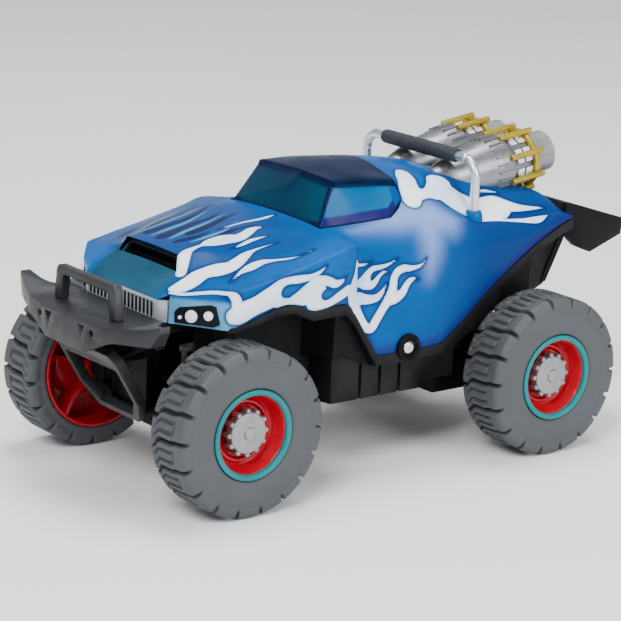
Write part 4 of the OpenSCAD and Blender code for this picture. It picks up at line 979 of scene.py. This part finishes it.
def build_hubcap(label):
    """The grey cap with twelve round teeth."""
    place = wheel_place(*WHEELS[label])
    parts = [lathe(rounded(HUB_DISC, 0.3, 3, closed=False), 72, place, closed=False)]
    tooth = rounded(HUB_TOOTH, 0.25, 3, closed=False)
    parts += [lathe(tooth, 16, shifted(place, 9.75, i * math.pi / 6), closed=False) for i in range(12)]
    obj = make_mesh(f"hubcap_{label}_moulded", *merge(parts), 40)
    settle(obj, BODY_OF["hubcap_" + label], "hub_grey", replaced=["hubcap_" + label])


# ---------------------------------------------------------------- jets

JET_ROOT = (MID_X - 62, 15.4, 124.5)
JET_TILT = math.radians(8)
# sections of a jet's turned parts as (radius, height)
HOUSING = [(0, -14), (4, -14), (7.4, -6), (10, 2), (12, 10), (13.2, 18), (14.2, 26), (14.6, 31.5),
           (14.6, 33), (13.2, 33.4), (13.2, 35.4), (12.1, 35.8), (11.5, 49.4), (11.5, 50), (10.4, 51),
           (10.3, 52), (0, 52)]
NOZZLE = [(8.5, 52.1), (10.2, 52.1), (10.3, 53.4), (9.8, 54), (9.8, 61.6), (9.9, 62.5), (8.6, 62.5),
          (8.4, 60), (7, 53)]
JET_ROD = [(0, 31), (1.3, 31), (1.45, 31.4), (1.45, 50.4), (1.2, 51), (0, 51)]
ROD_RING = [(11.9, 46), (14.2, 46.2), (14.4, 47.2), (14.4, 48.4), (13.9, 49), (11.9, 49)]


def jet_place(side):
    """A jet's frame: Z along its axis towards the tail."""
    c, s = math.cos(JET_TILT), math.sin(JET_TILT)
    return lambda p: (JET_ROOT[0] - p[2] * c + p[0] * s, side * (JET_ROOT[1] + p[1]),
                      JET_ROOT[2] + p[2] * s + p[0] * c)


def build_jets():
    for side, label in SIDES:
        place = jet_place(side)
        build_jet_housing(label, place)
        nozzle = lathe(rounded(NOZZLE, 0.3, 3), 80, place)
        settle(make_mesh(f"jet_nozzle_{label}_turned", *nozzle, 40),
               "chassis", "jet_silver", MATS["jet_grey"], ["jet_nozzle_" + label])
        build_jet_rods(label, place)


def build_jet_housing(label, place):
    """The cone with cooling ribs round its rear end, and pale panels between the rods."""
    parts = [lathe(rounded(HOUSING, 0.4, 3, closed=False), 96, place, closed=False)]
    parts += [block((13.4, -0.35, 23.5), (15.0, 0.35, 32.2), turned(place, 2 * math.pi * i / 24))
              for i in range(24)]
    obj = make_mesh(f"jet_housing_{label}_turned", *merge(parts), 40)
    settle(obj, "chassis", "jet_silver", replaced=["jet_housing_" + label])
    panels = [curved_panel(first, first + 4, i * 45 + 7, i * 45 + 38, place)
              for i in range(8) for first in (36.6, 41.6)]
    settle(make_mesh(f"jet_panels_{label}", *merge(panels), 40),
           "chassis", "jet_silver", MATS["jet_patch"])


def build_jet_rods(label, place):
    """Eight gold rods on short feet, tied by a ring."""
    rod = rounded(JET_ROD, 0.3, 3, closed=False)
    rods = []
    for i in range(8):
        a = (i + 0.5) * math.pi / 4
        rods.append(lathe(rod, 20, shifted(place, 15.2, a), closed=False))
        for z in (36.4, 43.8):
            rods.append(block((12.0, -0.6, z), (15.2, 0.6, z + 1.6), turned(place, a)))
    rods.append(lathe(rounded(ROD_RING, 0.35, 3), 96, place))
    settle(make_mesh(f"jet_rods_{label}_turned", *merge(rods), 40),
           "chassis", "jet_gold", replaced=["jet_rods_" + label])


def curved_panel(first, last, start, end, place):
    """A thin plate bent round the jet's neck between two angles (degrees) and two stations."""
    steps, thick = 8, 0.5
    verts = []
    for k in range(steps + 1):
        a = math.radians(start + (end - start) * k / steps)
        for z, r in ((first, 12.25), (last, 11.95)):
            for t in (0, thick):
                verts.append(place(((r + t) * math.cos(a), (r + t) * math.sin(a), z)))
    faces = []
    for k in range(steps):
        o, p = k * 4, (k + 1) * 4
        faces += [(o + 1, p + 1, p + 3, o + 3), (o, o + 2, p + 2, p), (o, p, p + 1, o + 1),
                  (o + 2, o + 3, p + 3, p + 2)]
    n = steps * 4
    faces += [(0, 1, 3, 2), (n, n + 2, n + 3, n + 1)]
    return verts, faces


# ---------------------------------------------------------------- roll bar, nose and small pieces

def build_roll_bar():
    """The bright bar with its foam grip, which is a little barrel shaped."""
    lo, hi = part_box("roll_bar")
    radius, bend = 2.2, 8.5
    x, foot = (lo.x + hi.x) * 500, lo.z * 1000
    top, half = hi.z * 1000 - radius, hi.y * 1000 - radius
    arc = [(x, half - bend + bend * math.cos(a), top - bend + bend * math.sin(a))
           for a in np.linspace(0, math.pi / 2, 9)]
    side = [(x, half, foot), (x, half, foot + 10)] + arc
    path = side + [(x, 0, top)] + [(px, -py, pz) for px, py, pz in reversed(side)]
    settle(make_mesh("roll_bar_tube", *tube(path, radius, 28, 3)),
           "chassis", "steel", replaced=["roll_bar"])
    grip = rounded([(2.25, -27), (3.1, -27), (3.4, -25.6), (3.5, 0), (3.4, 25.6), (3.1, 27),
                    (2.25, 27)], 0.5)
    obj = make_mesh("roll_bar_foam", *lathe(grip, 48, lambda p: (x + p[0], p[2], top + p[1])), 50)
    settle(obj, "chassis", "foam_slate", replaced=["roll_bar_grip"])


def build_grille_slot_shade():
    """Black blocks that fill the grille's slots a little under the bars' faces: painted shade in the slots.
    """
    slots = []
    for side, _ in SIDES:
        for i in range(8):
            near, far = sorted((side * (2.4 + i * 3), side * (4.5 + i * 3)))
            slots.append(block((MID_X + 105.8, near, 82.4), (MID_X + 109.15, far, 89.4)))
    # painted shade: dark blocks standing for the shade in the grille's slots
    settle(make_mesh("grille_slot_shade", *merge(slots)), "chassis", "black_plastic")


def build_headlights():
    """Domed lenses with a rim, in the tilted frame of each headlight panel."""
    turn = math.atan2(23, -15) - math.pi / 2
    c, s = math.cos(turn), math.sin(turn)
    parts = []
    for side, _ in SIDES:
        for along, z, r in ((11.4, 85.9, 2.8), (19.4, 87, 2.1), (6.2, 85, 0.8)):
            def at(p, along=along, z=z, side=side):
                out, run = 1.5 + p[2], along + p[0]
                return (MID_X + 106 + out * c - run * s, side * (33 + out * s + run * c), z + p[1])
            dome = [(r, 0), (r, 0.7), (r * 0.92, 1.1)]
            dome += [(r * 0.85 * math.cos(t), 1.0 + r * 0.25 * math.sin(t))
                     for t in np.linspace(0.1, math.pi / 2, 8)]
            parts.append(lathe(dome, 40, at, closed=False))
    obj = make_mesh("headlight_domes", *merge(parts), 50)
    settle(obj, "chassis", "lens_white", replaced=["headlight_lenses"])


def build_screws():
    """Pan-head screws with a cross recess, one in each side cup."""
    lo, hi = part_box("side_screws")
    x, z, y = (lo.x + hi.x) * 500, (lo.z + hi.z) * 500, hi.y * 1000
    parts = []
    head = rounded([(1.0, 0), (2.9, 0), (2.9, 0.7), (2.0, 1.45), (1.05, 1.6), (0.9, 1.2), (0, 0.5)],
                   0.25, 3, closed=False)
    for side, _ in SIDES:
        def at(p, side=side):
            return x + p[0], side * (y - 1.6 + p[2]), z + p[1]
        parts.append(lathe(head, 36, at, closed=False))
        parts.append(block((-1.7, -0.3, 0.9), (1.7, 0.3, 1.35), at))
        parts.append(block((-0.3, -1.7, 0.9), (0.3, 1.7, 1.35), at))
    settle(make_mesh("side_screw_heads", *merge(parts), 40), "chassis", "steel", replaced=["side_screws"])


# ---------------------------------------------------------------- the scene

# CAD nodes replaced by a copy with rounded edges, and the width of the rounding
SOFT = {"front_bumper": 0.9, "bull_bar": 0.8, "skid_cage": 0.8, "bumper_struts": 0.5,
        "tail_spoiler": 0.7, "chassis_tub": 0.4, "gearbox_case": 0.6, "headlight_bezels": 0.35,
        "grille": 0.3, "side_screw_cups": 0.4, "cockpit_tray": 0.6, "scoop_insert": 0.3,
        "knuckle_left": 0.4, "knuckle_right": 0.4, "tie_rod": 0.4, "steering_servo": 0.5,
        "servo_horn": 0.3, "battery_door": 0.3, "circuit_board": 0.2, "power_switch": 0.2,
        "drive_motor": 0.5}
for name, width in SOFT.items():
    softened(name, width)
# CAD nodes shown as they are
KEPT = ["upper_frame", "kingpins", "stub_axle_left", "stub_axle_right", "rear_axle", "axle_gear",
        "idler_gear", "motor_pinion", "axle_bushes", "battery_pack"]
for name in KEPT:
    NODES[name].data.materials.clear()
    NODES[name].data.materials.append(MATS[SLOT_OF[name]])

build_shell()
build_sockets()
build_canopy()
build_roof()
build_canopy_beads()
for wheel in WHEELS:
    build_tyre(wheel)
    build_rim(wheel)
    build_hubcap(wheel)
build_jets()
build_roll_bar()
build_grille_slot_shade()
build_headlights()
build_screws()


def build_floor():
    mesh = bpy.data.meshes.new("floor")
    mesh.from_pydata([(-6, -6, 0), (6, -6, 0), (6, 6, 0), (-6, 6, 0)], [], [(0, 1, 2, 3)])
    floor = bpy.data.objects.new("floor", mesh)
    bpy.context.scene.collection.objects.link(floor)
    look = Look("floor_pale", (0.93, 0.94, 0.95), 0.75)
    look.link("Base Color", look.ramp(look.noise(3.0, 2.0), (0.3, (0.92, 0.93, 0.94)),
                                      (0.7, (0.95, 0.955, 0.96))))
    floor.data.materials.append(look.mat)


def area_light(name, place, aim, size, power):
    data = bpy.data.lights.new(name, "AREA")
    data.shape = "DISK"
    data.size = size
    data.energy = power
    obj = bpy.data.objects.new(name, data)
    obj.location = place
    obj.rotation_mode = "QUATERNION"
    obj.rotation_quaternion = (Vector(aim) - Vector(place)).to_track_quat("-Z", "Y")
    bpy.context.scene.collection.objects.link(obj)


def build_camera():
    """The camera, aimed at the cab's foot from the front left, with a slight roll."""
    place = Vector((MID_X + 729.5, 941.5, 381.4)) * MM
    aim = Vector((MID_X + 2.7, 0, 65.4)) * MM
    view_angle, roll = math.radians(13.507), math.radians(2.115)
    data = bpy.data.cameras.new("camera")
    data.sensor_width = 36
    data.lens = data.sensor_width / 2 / math.tan(view_angle / 2)
    data.clip_start, data.clip_end = 0.05, 50
    cam = bpy.data.objects.new("camera", data)
    bpy.context.scene.collection.objects.link(cam)
    look = (aim - place).normalized()
    right = look.cross(Vector((0, 0, 1))).normalized()
    up = right.cross(look)
    right, up = right * math.cos(roll) + up * math.sin(roll), up * math.cos(roll) - right * math.sin(roll)
    turn = Matrix((right, up, -look)).transposed().to_4x4()
    cam.matrix_world = Matrix.Translation(place) @ turn
    bpy.context.scene.camera = cam


def build_lights():
    """An even studio sky and three soft lights."""
    world = bpy.data.worlds.new("studio")
    world.use_nodes = True
    sky = world.node_tree.nodes["Background"].inputs
    sky["Color"].default_value = (0.93, 0.96, 1.0, 1)
    sky["Strength"].default_value = 0.62
    bpy.context.scene.world = world
    area_light("key", (1.1, 0.7, 1.3), (0, 0, 0.06), 0.8, 26.0)
    area_light("fill", (-0.4, 1.6, 0.8), (0, 0, 0.06), 1.0, 20.0)
    area_light("top", (-0.2, -0.2, 1.7), (0, 0, 0.08), 0.9, 22.0)


build_floor()
build_lights()
build_camera()
